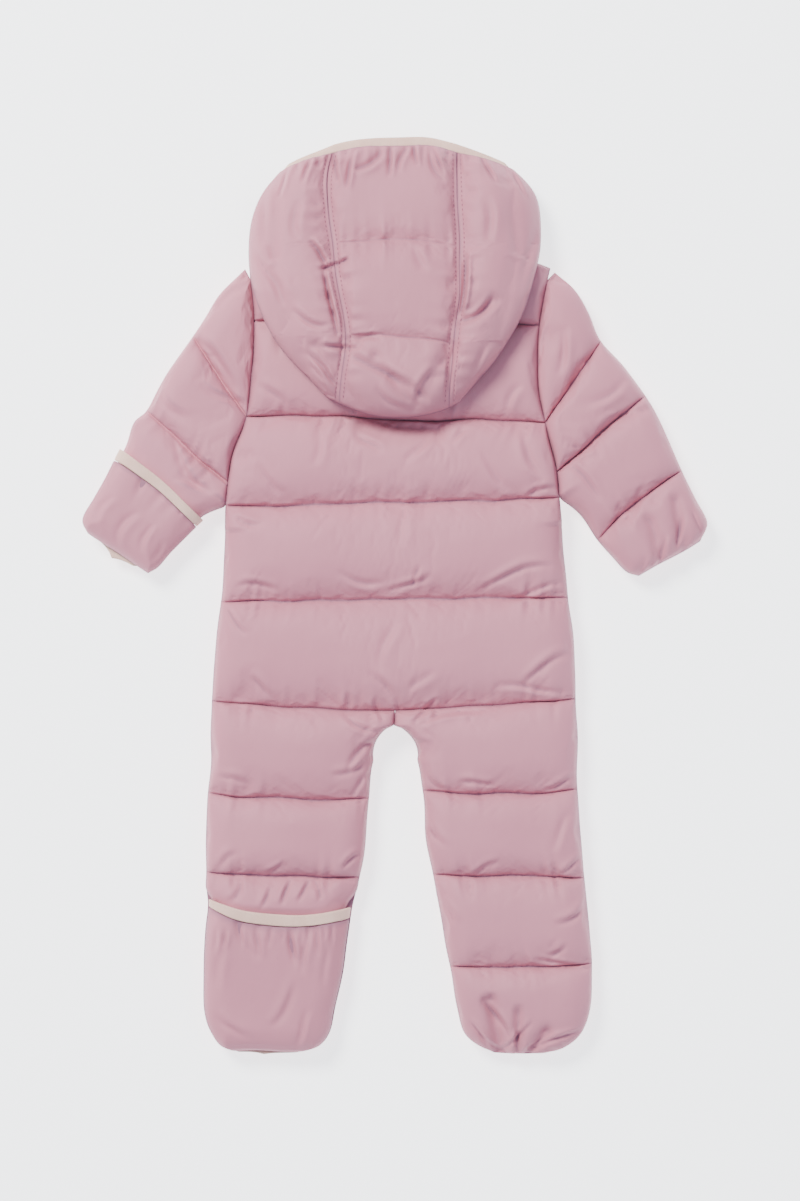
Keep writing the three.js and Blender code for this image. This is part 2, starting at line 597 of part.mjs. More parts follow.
// Bindings on the front edges of the left cuff and foot, which show past the flaps.
function addEndBinding(name, panel, reach, low, high) {
  const v = panel.rows.length - 1;
  const strip = (out) => (u) => {
    const at = planPoint(panel, u, v);
    const before = planPoint(panel, u, v - 0.3);
    const length = Math.hypot(at.x - before.x, at.y - before.y);
    return {
      x: at.x + (at.x - before.x) / length * out,
      y: at.y + (at.y - before.y) / length * out,
    };
  };
  const surface = (height) => (u, share) => {
    const at = strip(mix(SEAM_GAP, reach, share))(u);
    return new THREE.Vector3(at.x, at.y, height);
  };
  const us = evenSteps(0, 1, 14);
  addNode(name, wallGeometry(surface(high), surface(low), us, [0, 0.5, 1], 1), beige);
}
const BINDING_HIGH = LAYER - 0.2;
const BINDING_LOW = BINDING_HIGH - BINDING_WALL;
addEndBinding('cuff_binding_left', sleeves.left.drawn, 9.7, BINDING_LOW, BINDING_HIGH);
addEndBinding('foot_binding_left', makePanel(LEG_LEFT_ROWS), 3.5, BINDING_LOW, BINDING_HIGH);

// Hood
const hoodEdges = ['left', 'seamLeft', 'seamRight', 'right'].map((name) => (
  curveOf(HOOD_ROWS, [`${name}X`, `${name}Y`, 'quilt'])
));
const hoodPanel = makePanel(HOOD_ROWS.map((row) => ({
  ...row, ax: row.seamLeftX, ay: row.seamLeftY, bx: row.seamRightX, by: row.seamRightY, sag: 0,
})));
const RIM_ROW = HOOD_ROWS.length - 1;

// Place on the hood. w runs across its three panels, one third for each.
function hoodPlan(w, v) {
  const part = Math.min(Math.floor(3 * w), 2);
  const share = 3 * w - part;
  const from = hoodEdges[part](v);
  const to = hoodEdges[part + 1](v);
  const bend = part === 1 ? 4 * share * (1 - share) * valueAt(HOOD_ROWS, 'bow', v) : 0;
  const x = mix(from.x, to.x, share);
  const y = mix(from.y, to.y, share) + bend;
  const left = hoodEdges[0](v);
  const right = hoodEdges[3](v);
  const seams = [hoodEdges[1](v), hoodEdges[2](v)];
  return {
    x, y, part,
    fromSide: Math.min(Math.hypot(x - left.x, y - left.y), Math.hypot(x - right.x, y - right.y)),
    fromSeam: Math.min(...seams.map((seam) => Math.abs(x - seam.x))),
  };
}

// Dome of the hood: how much of its height the cloth has at this place.
function hoodDome(at, v) {
  const toRim = lengthAt(hoodPanel, RIM_ROW) - lengthAt(hoodPanel, v);
  return rounded(at.fromSide, HOOD_SIDE_ROLL) * rounded(toRim, HOOD_RIM_ROLL);
}

function hoodPadding(at, v) {
  const { share } = channelAt(hoodPanel, v);
  const along = at.part === 1 ? channelRise(share) : 1;
  return HOOD_PUFF * along * rounded(at.fromSeam, HOOD_SEAM_ROLL);
}

function hoodOuter(w, v) {
  const at = hoodPlan(w, v);
  const edge = valueAt(HOOD_ROWS, 'edge', v);
  const crest = valueAt(HOOD_ROWS, 'crest', v);
  const padding = Math.max(hoodPadding(at, v) - foldDepth(HOOD_SIDE_FOLDS, at.x, at.y), 0);
  const height = (crest - edge + padding) * hoodDome(at, v);
  return new THREE.Vector3(at.x, at.y, edge + HOOD_LIP + height);
}

function hoodInner(w, v, below = 0) {
  const at = hoodPlan(w, v);
  const edge = valueAt(HOOD_ROWS, 'edge', v);
  const crest = valueAt(HOOD_ROWS, 'crest', v);
  const height = (crest - edge - 1) * hoodDome(at, v);
  return new THREE.Vector3(at.x, at.y, edge + height - below);
}

const hoodRows = rowSteps(hoodPanel, BINDING_SHARE + 0.01, RIM_ROW);
const HOOD_SEAM_SHARE = 0.0018; // share of a hood panel that its seam leaves free
for (const [i, name] of ['hood_side_left', 'hood_centre', 'hood_side_right'].entries()) {
  const us = columnSteps(3).map((share) => (i + mix(HOOD_SEAM_SHARE, 1 - HOOD_SEAM_SHARE, share)) / 3);
  addNode(name, wallGeometry(hoodOuter, (w, v) => hoodInner(w, v), us, hoodRows, 1), rose);
}

const bindingOuter = (w, v) => {
  const crown = rounded(Math.min(v, BINDING_SHARE - v) + BINDING_SHARE / 10, BINDING_SHARE / 2);
  const point = hoodInner(w, v);
  return point.setZ(point.z + BINDING_WALL * mix(0.6, 1, crown));
};
addNode('hood_binding', wallGeometry(
  bindingOuter, (w, v) => hoodInner(w, v), evenSteps(0.02, 0.98, 36),
  [0, 0.25, 0.75, 1].map((share) => share * BINDING_SHARE), 1,
), beige);

// Hidden layers of the folded hood: one solid on the floor past the shoulders, and one
// between the hood and the back.
const SHOULDER = TORSO_ROWS[0];
function shoulderLine(x) {
  const share = clamp((x - SHOULDER.ax) / (SHOULDER.bx - SHOULDER.ax), 0, 1);
  return mix(SHOULDER.ay, SHOULDER.by, share) + 4 * share * (1 - share) * SHOULDER.sag;
}

// Row number at which the hood crosses a line given as a height above the shoulders.
function rowOnShoulder(w, above) {
  let low = 0;
  let high = RIM_ROW;
  for (let i = 0; i < 24; i += 1) {
    const middle = (low + high) / 2;
    const at = hoodPlan(w, middle);
    if (at.y > shoulderLine(at.x) + above) low = middle;
    else high = middle;
  }
  return low;
}

const UNDER_TOP_GAP = 1.5;
const under = (w, share) => mix(0.3, rowOnShoulder(w, 2.5), share);
const underRoll = (w, share) => {
  const at = hoodPlan(w, under(w, share));
  const top = hoodPlan(w, under(w, 0));
  const toTop = Math.hypot(at.x - top.x, at.y - top.y);
  return rounded(Math.min(toTop, at.fromSide) + 2, 16);
};
addNode('hood_under', wallGeometry(
  (w, share) => hoodInner(w, under(w, share), UNDER_TOP_GAP),
  (w, share) => {
    const point = hoodInner(w, under(w, share));
    return point.setZ((point.z - UNDER_TOP_GAP - 4) * (1 - underRoll(w, share)));
  },
  evenSteps(0.05, 0.95, 20), [0, 0.07, 0.18, 0.4, 0.7, 1], 1,
), rose);

addNode('hood_nape', wallGeometry(
  (w, share) => hoodInner(w, mix(rowOnShoulder(w, -6), RIM_ROW - 0.6, share), UNDER_TOP_GAP),
  (w, share) => hoodInner(w, mix(rowOnShoulder(w, -6), RIM_ROW - 0.6, share)).setZ(NAPE_FLOOR),
  evenSteps(0.12, 0.88, 14), evenSteps(0, 1, 7), 2,
), rose);

// Zip: two tapes, the closed chain, its slider and the woven pull.
function slab(xs, ys, zs) {
  const shape = new THREE.Shape();
  const radius = Math.min(1, (xs[1] - xs[0]) / 3);
  shape.moveTo(xs[0] + radius, ys[0]);
  shape.lineTo(xs[1] - radius, ys[0]);
  shape.lineTo(xs[1], ys[0] + radius);
  shape.lineTo(xs[1], ys[1] - radius);
  shape.lineTo(xs[1] - radius, ys[1]);
  shape.lineTo(xs[0] + radius, ys[1]);
  shape.lineTo(xs[0], ys[1] - radius);
  shape.lineTo(xs[0], ys[0] + radius);
  const geometry = new THREE.ExtrudeGeometry(shape, { depth: zs[1] - zs[0], bevelEnabled: false });
  return geometry.translate(0, 0, zs[0]);
}
const chainEnds = [CHAIN.bottom, CHAIN.top];
const tapeHeights = [ZIP.tapeLow, ZIP.tapeHigh];
addNode('zip_tape_left', slab([-ZIP.tapeOuter, -ZIP.tapeInner], chainEnds, tapeHeights), zipCloth);
addNode('zip_tape_right', slab([ZIP.tapeInner, ZIP.tapeOuter], chainEnds, tapeHeights), zipCloth);
addNode('zip_chain', slab(
  [-CHAIN.halfWidth, CHAIN.halfWidth], chainEnds, [CHAIN.low, CHAIN.high],
), zipCloth);
addNode('zip_slider', slab(
  [-SLIDER.halfWidth, SLIDER.halfWidth], [SLIDER.bottom, SLIDER.top], [SLIDER.low, SLIDER.high],
), steel);
addNode('zip_pull', slab(
  [-PULL.halfWidth, PULL.halfWidth], [PULL.bottom, PULL.top], [PULL.low, PULL.high],
), zipCloth);

// The origin is the middle of the floor under the suit.
const box = new THREE.Box3().setFromObject(snowsuit);
snowsuit.position.set(-(box.min.x + box.max.x) / 2, -(box.min.y + box.max.y) / 2, -box.min.z);

export default snowsuit;
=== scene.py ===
import math

import bpy
import numpy as np
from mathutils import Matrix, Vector
from mathutils.bvhtree import BVHTree


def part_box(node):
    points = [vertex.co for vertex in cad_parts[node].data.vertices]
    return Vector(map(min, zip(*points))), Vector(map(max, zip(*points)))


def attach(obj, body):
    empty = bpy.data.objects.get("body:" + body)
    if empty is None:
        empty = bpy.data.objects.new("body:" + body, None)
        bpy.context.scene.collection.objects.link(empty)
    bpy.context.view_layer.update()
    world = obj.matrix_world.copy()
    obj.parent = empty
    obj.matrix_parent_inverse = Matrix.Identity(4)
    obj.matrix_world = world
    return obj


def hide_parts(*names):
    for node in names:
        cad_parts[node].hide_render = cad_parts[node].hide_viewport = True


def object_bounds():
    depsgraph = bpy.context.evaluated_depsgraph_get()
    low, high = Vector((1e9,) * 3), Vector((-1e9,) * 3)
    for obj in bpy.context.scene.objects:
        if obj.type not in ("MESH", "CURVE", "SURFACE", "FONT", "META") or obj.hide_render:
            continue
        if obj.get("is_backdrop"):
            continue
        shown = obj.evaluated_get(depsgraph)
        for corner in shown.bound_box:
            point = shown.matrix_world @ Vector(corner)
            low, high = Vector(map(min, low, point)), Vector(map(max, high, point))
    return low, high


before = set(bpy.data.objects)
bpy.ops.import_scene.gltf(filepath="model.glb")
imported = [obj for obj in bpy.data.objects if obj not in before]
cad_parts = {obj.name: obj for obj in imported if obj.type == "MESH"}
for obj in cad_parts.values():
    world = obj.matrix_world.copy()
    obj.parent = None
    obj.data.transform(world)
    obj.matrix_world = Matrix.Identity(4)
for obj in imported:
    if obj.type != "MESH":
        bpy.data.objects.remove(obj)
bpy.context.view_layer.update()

MM = 0.001
SEAM_GAP = 0.3
HALF_GAP = SEAM_GAP / 2
LAYER = 17.0
UNDER_WALL = LAYER - HALF_GAP
UNDER_GROOVE = 5.0
UNDER_SEAM_WALL = 9.0
SEAM_WALL = 4.0
SIDE_WALL = 1.0
SIDE_ROLL = 24.0
SEAM_ROLL = 15.0
CHANNEL_POWER = 3.2
FLAP_WALL = 2.5
FLAP_RISE = 17.7
FLAP_INSET = 4.2
PRESSED = 0.24
HOOD_PUFF = 10.0
HOOD_LIP = 3.0
HOOD_SIDE_ROLL = 46.0
HOOD_RIM_ROLL = 30.0
HOOD_SEAM_ROLL = 17.0
BINDING_SHARE = 0.22
BINDING_WALL = 3.4
NAPE_FLOOR = 36.45
SLIDER_TOP = 254.0
GRID = 2.6  # distance between the points of a panel's mesh
HIDDEN_GRID = 5.0  # the same on the front, which lies on the floor
CLUSTER = 0.5  # how far the rows crowd towards the lines of quilting

PANEL_COLUMNS = ["ax", "ay", "bx", "by", "sag", "quilt", "wall", "puff", "edgeA", "edgeB"]
SLEEVE_COLUMNS = ["ax", "ay", "bx", "by", "arm", "sag", "quilt", "wall", "puff"]
HOOD_COLUMNS = [
    "leftX", "leftY", "seamLeftX", "seamLeftY", "seamRightX", "seamRightY", "rightX", "rightY",
    "bow", "edge", "crest", "quilt",
]
FOLD_COLUMNS = ["x1", "y1", "x2", "y2", "width", "depth"]


def table(columns, rows):
    """A dictionary for each line of numbers. What follows a # is a note."""
    lines = [line.split("#")[0].split() for line in rows.strip().splitlines()]
    return [dict(zip(columns, map(float, line), strict=True)) for line in lines if line]


TORSO_ROWS = table(PANEL_COLUMNS, """
-123.8 278 132.4 277.4 24 1 3 13 3 3
-118.7 232 123 230 0 1 4 15 4 4
-120.6 190 121.7 190 0 0 4 15 4 4
-126.4 152.4 129 145.6 1 1 4 15 4 4
-138.3 113 135 113 0 0 4 15 4 4
-143.9 76 139.4 83 -1.5 1 4 15 3 3
-145.5 34 143.5 38 0 0 4 15 1 1
-148 -5.7 148 -0.9 0 1 4 15 1 1
-152 -47 152.2 -45 0 0 4 15 1 1
-155 -89 152.9 -87 -9.5 1 4 15 1 1
""")
YOKE_SEAM_ROW = 3
ZIP_HALF_OPENING = 9.0
FRONT_NECK_DROP = -38.0
FRONT_SHOULDER_RISE = 18.0

LEG_LEFT_ROWS = table(PANEL_COLUMNS, """
-155 -89.3 -0.15 -97.8 -2.4 1 4 15 1 4
-155.6 -113 -0.15 -112.5 0 0 4 15 1 3
-156.6 -140 -16.5 -138 0 0 4 15 1 1
-158.7 -168 -22.5 -172 -3 1 4 15 1 1
-159.8 -203 -24.5 -205 0 0 4 15 1 1
-160.5 -234 -31 -240 0 1 4 10 1 1
-160.3 -249 -33.3 -252 0 0 4 10 1 1
-158.4 -262 -36 -264 0 0 4 10 1 1
-161.5 -285 -38.5 -287 0 0 4 10 1 1
-161.5 -316 -43 -316 0 1 4 10 1 1
-161.3 -352 -50.5 -352 0 0 4 10 1 1
-157.8 -369 -54 -371 0 0 4 10 1 1
-149 -382.5 -62 -382 0 0 4 10 1 1
-135 -388 -80 -387.3 0 1 1 10 1 1
""")
LEG_RIGHT_ROWS = table(PANEL_COLUMNS, """
0.15 -97.8 152.9 -87.3 -2.4 1 4 15 4 1
0.15 -112.5 154 -112 0 0 4 15 3 1
17.5 -136 155 -138 0 0 4 15 1 1
24 -166 155.5 -164 -3.5 1 4 15 1 1
26.5 -202 158.5 -201 0 0 4 15 1 1
32.3 -237 162.3 -239 0 1 4 15 1 1
37 -263 163.4 -263 0 0 4 15 1 1
41.5 -287 166.3 -287 0 0 4 15 1 1
46.5 -313 168.2 -312.5 -3 1 4 15 1 1
52.5 -350 166 -348 0 0 4 15 1 1
59 -372 157 -373 0 0 4 15 1 1
71 -382.5 143 -385 0 0 4 15 1 1
86 -388.3 128 -388.5 0 1 1 15 1 1
""")
LEG_FLAP_ROW = 7
LEG_OVERLAP = 0.6  # how far a leg reaches over the line between it and the torso

SLEEVE_LEFT_ROWS = table(SLEEVE_COLUMNS, """
-128 277.5 0 0 0.2 0 1 2.5 14
-149 256 0 0 1 0 0 4 14
-161 238 0 0 2 0 0 4 14
-173 220.4 0 0 3 0 1 4 15
-192.5 191.5 0 0 3.7 0 0 4 15
-211.4 156 0 0 4.45 0 1 4 10
-222 146 -144.5 75.6 5 0 0 4 10
-231 130 -160 64.5 5 0 0 4 10
-244 107 -173.5 51 5 0 1 4 10
-257 83 -187 36.5 5 0 0 4 10
-265.8 64 -199 23 5 0 0 4 10
-261 52.5 -209 18 5 0 1 1.5 10
""")
SLEEVE_RIGHT_ROWS = table(SLEEVE_COLUMNS, """
136.5 274.5 0 0 0.2 0 1 2.5 14
153 259.5 0 0 1 0 0 4 14
165 241 0 0 2 0 0 4 14
175.4 218 0 0 3 0 1 4 15
194 195 0 0 3.7 0 0 4 15
213.4 168.5 0 0 4.3 0 1 4 15
229 139 140.2 82 5 0 0 4 15
237 122.5 157 68 5 0 0 4 15
244.6 106.5 172 46.5 5 4 1 4 15
257 82 185 32 5 0 0 4 15
266.5 62 198 19.5 5 0 0 4 15
260.5 47.5 208 16.5 5 0 1 1.5 15
""")
SLEEVE_UNDERARM_ROW = 6
SLEEVE_FLAP_ROW = 7

FLAP_NAMES = ["hand_left", "hand_right", "foot_left", "foot_right"]
FLAPS = dict(zip(FLAP_NAMES, table(
    ["side", "startA", "startB", "bend", "band", "gathers", "depth"], """
1 7.22 7.12 -0.12 0.4 9 1.8
-1 7.22 7.12 -0.12 0.4 9 1.0
1 6.68 7.05 0.5 0.42 13 2.2
-1 6.3 6.3 0.3 0.36 13 1.0
""")))


HOOD_ROWS = table(HOOD_COLUMNS, """
-92 365 -51 382.5 53 381.5 97 365.5 7 13 25 1
-114 340 -57 344 53 344 119 341 5 13 40 0
-124.7 296 -51.5 293.7 54.5 292.7 123 297 5 22 50 1
-118.5 256 -47 254 53.5 252 114 253 3 39 59 0
-101 215 -41 217 48.5 210 96.5 214 4 41 62 1
-72 181 -43.5 183 46.5 182 70 180 -1 41 62 0
-57 166 -46.5 160.5 45.3 158.7 54 162.5 -9 41 62 1
""")
RIM_ROW = len(HOOD_ROWS) - 1

# Creases of the body, the sleeves and the legs, and of the hood.
FOLDS = table(FOLD_COLUMNS, """
80.2 -344 92.1 -386 6 7
128 -370 113.4 -388 5 6
104 -352 107 -388 4 4
-16 199 -36 158 9 5
45 207 25 168 9 5
238 80 244 36 6 5
216 62 226 28 5 4
-24 147 34 141 9 9
""")
HOOD_FOLDS = table(FOLD_COLUMNS, """
-99 350 -100 285 7 5
-98 275 -75 190 6 4
96 345 103 290 7 5
101 280 86 212 6 4
-66 206 -30 160 8 6
-16 199 -2 184 5 4
-2 184 17 160 5 5
45 207 25 168 6 5
84 246 56 232 7 5
-57 207 -30 211 5 3
""")


# Creases of the outer cloth: a trough with a ridge on its one side. A negative width puts
# the ridge on the other side.
CREASES = table(FOLD_COLUMNS, """
# Back
-2 0 28 21 3.5 1.8
-45 17 -8 12 -4 1.8
21 24 15 6 2.6 1.4
70 8 134 21 4 2.2
94 3 146 5 -3.5 1.8
-135 4 -100 9 4 1.6
-147 -12 -123 -30 3.5 2
108 -72 150 -52 4.5 2.2
88 -84 142 -75 -4 1.8
-124 -72 -104 -84 4 1.8
-2 -20 -9 -56 6 1.5
-18 -62 -5 -86 5 1.6
30 -60 12 -84 5 1.3
106 90 72 114 5 1.4
128 101 106 136 5 1.8
112 82 139 91 3.5 1.8
-60 135 -71 110 5 1.2
-30 138 -12 118 4 1.5
26 139 14 112 5 1.6
60 140 48 126 4 1.2
4 72 9 42 6 1.2
-136 68 -112 60 4 1.4
-118 106 -92 90 5 1.3
-104 232 -92 205 5 1.6
-112 180 -96 158 5 1.6
108 176 92 156 5 1.6
# Crotch and legs
-10 -107 -18 -88 3 2
4 -104 0 -86 3 1.8
16 -107 36 -88 3 2.2
24 -115 74 -94 -3.5 2
-9 -119 -43 -97 3.5 2
-14 -122 -40 -149 4 2.2
-21 -137 -52 -153 -4 1.8
-20 -153 -40 -170 3.5 1.8
-150 -150 -126 -163 4 1.4
26 -145 40 -166 4 2
55 -162 84 -158 3.5 1.6
122 -162 154 -156 3.5 1.8
29 -190 41 -213 4 1.8
150 -186 130 -212 5 1.3
-46 -230 -27 -220 3.5 2.2
-108 -236 -94 -226 3 1.5
-150 -230 -132 -218 4 1.3
-96 -262 -88 -242 3 2.2
-112 -264 -104 -246 3 1.8
-82 -259 -71 -242 3 2
-62 -258 -64 -245 3 1.5
-140 -258 -128 -243 4 1.3
138 -234 163 -224 3.5 1.8
138 -277 163 -258 4 2.2
38 -258 48 -277 4 1.8
62 -236 88 -228 3.5 1.3
120 -310 168 -316 3 1.6
132 -306 146 -294 3.5 1.4
78 -340 94 -376 3.5 2.6
63 -362 82 -384 2.6 2.2
92 -384 116 -362 2.8 2
104 -387 105 -366 2.4 1.8
118 -385 156 -368 3 2.4
112 -386 130 -372 2.4 1.6
72 -372 92 -386 2.4 1.8
# Sleeves
-187 134 -152 82 5 1.8
-174 213 -131 180 5 2
-160 180 -128 158 4 1.8
-152 242 -124 262 5 1.6
-200 170 -176 150 5 1.6
-150 92 -186 96 4 1.8
176 131 226 165 5 1.8
142 108 176 84 4 1.8
150 226 134 190 5 2
172 206 146 170 4.5 1.8
196 186 164 160 5 1.5
216 92 190 62 5 1.6
244 66 236 40 3 2
228 52 222 24 3 1.8
252 74 262 50 3 1.6
""")
FLAP_CREASES = table(FOLD_COLUMNS, """
-78 -288 -74 -318 4 1.8
-93 -292 -82 -312 4 1.6
-124 -290 -114 -306 4 1.4
-106 -361 -82 -331 5 1.6
-140 -300 -152 -330 5 1.4
-148 -352 -128 -378 5 1.6
-70 -352 -88 -380 4 1.6
-60 -300 -56 -330 4 1.4
-218 70 -236 44 5 1.6
-206 60 -212 36 4 1.4
-240 84 -252 62 4 1.4
-196 46 -206 26 4 1.2
-142 -283 -144 -297 2.6 2.4
-131 -281 -127 -296 2.4 2
-116.5 -283 -114 -304 2.6 2.4
-104 -283 -106 -296 2.2 2
-89 -283 -85 -308 2.6 2.6
-78.5 -282 -80 -296 2.2 2
-68 -281 -63 -304 2.6 2.4
-53 -279 -51 -296 2.2 2
-150 -281 -152 -302 2.4 2
-97 -284 -94 -294 2 1.8
-60 -280 -58 -291 2 1.8
-209 118 -218 103 2.4 2
-196 106 -206 92 2.4 2.2
-184 93 -192 80 2.2 2
-172 82 -181 68 2.4 2.2
-221 128 -231 112 2.4 1.8
""")
HOOD_CREASES = table(FOLD_COLUMNS, """
-62 274 -38 281 2.6 3.4
-72 294 -49 275 3.4 3.2
-56.5 274 -49 217 2.8 4.6
-62 208 -30 207 3 2.6
-38 219 -12 212 3.5 1.8
53 234 59.5 284 -2.8 4.4
44 164 50 210 -2.8 3.4
-64 178 -52 166 2.6 2.6
-58 187 -45 173 2.6 2
-72 192 -60 180 2.8 2.2
-52 376 -47 346 2.8 2.6
-4 379 -6 352 2.8 2.4
14 378 18 360 2.4 2
31 375 42 352 2.8 2.6
-34 373 -42 341 2.8 2.4
-88 361 -98 336 2.8 2.4
96 362 110 336 2.8 2.2
74 369 84 344 2.8 2
-70 369 -76 346 2.8 2
56 229 82 247 4 2.6
26 374 43 348 4 2.2
-12 374 -34 356 4 2.2
6 380 4 356 3.5 1.8
-34 213 20 158 5 2.4
22 158 31 192 4 1.6
-12 175 12 154 4 2.2
110 348 116 256 6 2.6
116 256 99 212 6 2.4
-102 348 -115 298 6 2.4
-115 298 -98 242 6 2.4
-85 235 -56 225 4 2
-80 200 -48 184 4 2.4
72 330 82 296 6 1.5
-84 330 -78 300 6 1.5
84 210 62 186 5 2
18 296 22 270 6 1.3
""")


# Smooth numbers

RISE_OVERLAP = 0.2
GROOVE_LIFT = 2.5  # padding left under a line of quilting
SEAM_LIFT_BACK = 4.5  # and along a seam
CROTCH_TOP, CROTCH_HEIGHT, CROTCH_ROUND = -110.5, 30.0, 8.5


def mix(a, b, share):
    return a + (b - a) * share


def rounded(distance, reach):
    share = np.clip(np.asarray(distance) / reach, 0, 1)
    return np.sqrt(1 - (1 - share) ** 2)


def channel_rise(share):
    return np.sqrt(np.maximum(0, 1 - np.abs(2 * np.asarray(share) - 1) ** CHANNEL_POWER))


def curve_of(rows, columns):
    """Smooth curve through columns of the rows, by row number."""
    points = np.array([[row[name] for name in columns] for row in rows], float)
    points = np.vstack([2 * points[0] - points[1], points, 2 * points[-1] - points[-2]])

    def at(v):
        i = int(min(math.floor(v), len(rows) - 2))
        share = v - i
        p0, p1, p2, p3 = points[i:i + 4]
        d0, d1, d2 = (math.sqrt(np.linalg.norm(b - a)) for a, b in ((p0, p1), (p1, p2), (p2, p3)))
        d1 = d1 if d1 > 1e-4 else 1.0
        d0 = d0 if d0 > 1e-4 else d1
        d2 = d2 if d2 > 1e-4 else d1
        t1 = ((p1 - p0) / d0 - (p2 - p0) / (d0 + d1) + (p2 - p1) / d1) * d1
        t2 = ((p2 - p1) / d1 - (p3 - p1) / (d1 + d2) + (p3 - p2) / d2) * d1
        cubic = 2 * p1 - 2 * p2 + t1 + t2
        square = -3 * p1 + 3 * p2 - 2 * t1 - t2
        return p1 + share * (t1 + share * (square + share * cubic))

    return at


def value_at(rows, column, v):
    i = int(min(math.floor(v), len(rows) - 2))
    return mix(rows[i].get(column, 0), rows[i + 1].get(column, 0), v - i)


def ripple(position, seed, spacing):
    """Smooth random wave along a line, from -1 to 1."""
    random = np.random.default_rng(seed)
    knots = random.uniform(-1, 1, 400)
    place_along = np.asarray(position) / spacing + 150
    i = np.clip(np.floor(place_along).astype(int), 0, 398)
    share = place_along - i
    share = share * share * (3 - 2 * share)
    return mix(knots[i], knots[i + 1], share)


CREASE_GAIN = 1.3
CREASE_NARROWING = 0.72
NARROW_CREASE = 3  # creases up to this width run nearly straight
BEND_WIDE, BEND_NARROW = 0.12, 0.03  # sideways bend, as a share of a crease's length
RIDGE_HEIGHT, RIDGE_WIDTH, RIDGE_AWAY = 0.65, 1.2, 1.5  # against the trough's own


def crease_height(creases, x, y):
    """Rise and fall of the cloth along its creases, which fade towards their ends."""
    height = np.zeros_like(x)
    for crease in creases:
        dx, dy = crease["x2"] - crease["x1"], crease["y2"] - crease["y1"]
        length = math.hypot(dx, dy)
        along = ((x - crease["x1"]) * dx + (y - crease["y1"]) * dy) / length
        off = ((y - crease["y1"]) * dx - (x - crease["x1"]) * dy) / length
        width = CREASE_NARROWING * abs(crease["width"])
        bend = BEND_WIDE if abs(crease["width"]) > NARROW_CREASE else BEND_NARROW
        off = off + bend * length * np.sin(np.pi * along / length + length)
        fade = np.sin(np.pi * np.clip(along / length * 0.9 + 0.05, 0, 1)) ** 0.8
        side = math.copysign(RIDGE_AWAY * width, crease["width"])
        trough = np.exp(-((off / width) ** 2))
        ridge = RIDGE_HEIGHT * np.exp(-(((off - side) / (RIDGE_WIDTH * width)) ** 2))
        height += CREASE_GAIN * crease["depth"] * fade * (ridge - trough)
    return height


def unevenness(x, y, seed, spacing=34.0):
    """Smooth random surface from about -1 to 1."""
    random = np.random.default_rng(seed)
    total = np.zeros_like(x)
    for _ in range(7):
        angle, phase = random.uniform(0, 2 * np.pi, 2)
        size = spacing * random.uniform(0.7, 1.8)
        bent = 0.3 * np.sin((x * math.sin(angle) - y * math.cos(angle)) / size + phase)
        total += np.sin((x * math.cos(angle) + y * math.sin(angle)) * 2 / size + phase + 3 * bent)
    return total / 3.5


def fold_depth(folds, x, y):
    depth = np.zeros_like(x)
    for fold in folds:
        dx, dy = fold["x2"] - fold["x1"], fold["y2"] - fold["y1"]
        raw = ((x - fold["x1"]) * dx + (y - fold["y1"]) * dy) / (dx * dx + dy * dy)
        share = np.clip(raw, 0, 1)
        distance = np.hypot(x - fold["x1"] - share * dx, y - fold["y1"] - share * dy)
        depth = np.maximum(depth, fold["depth"] * np.exp(-((distance / fold["width"]) ** 2)))
    return depth


# Panels, as in the frame's solids

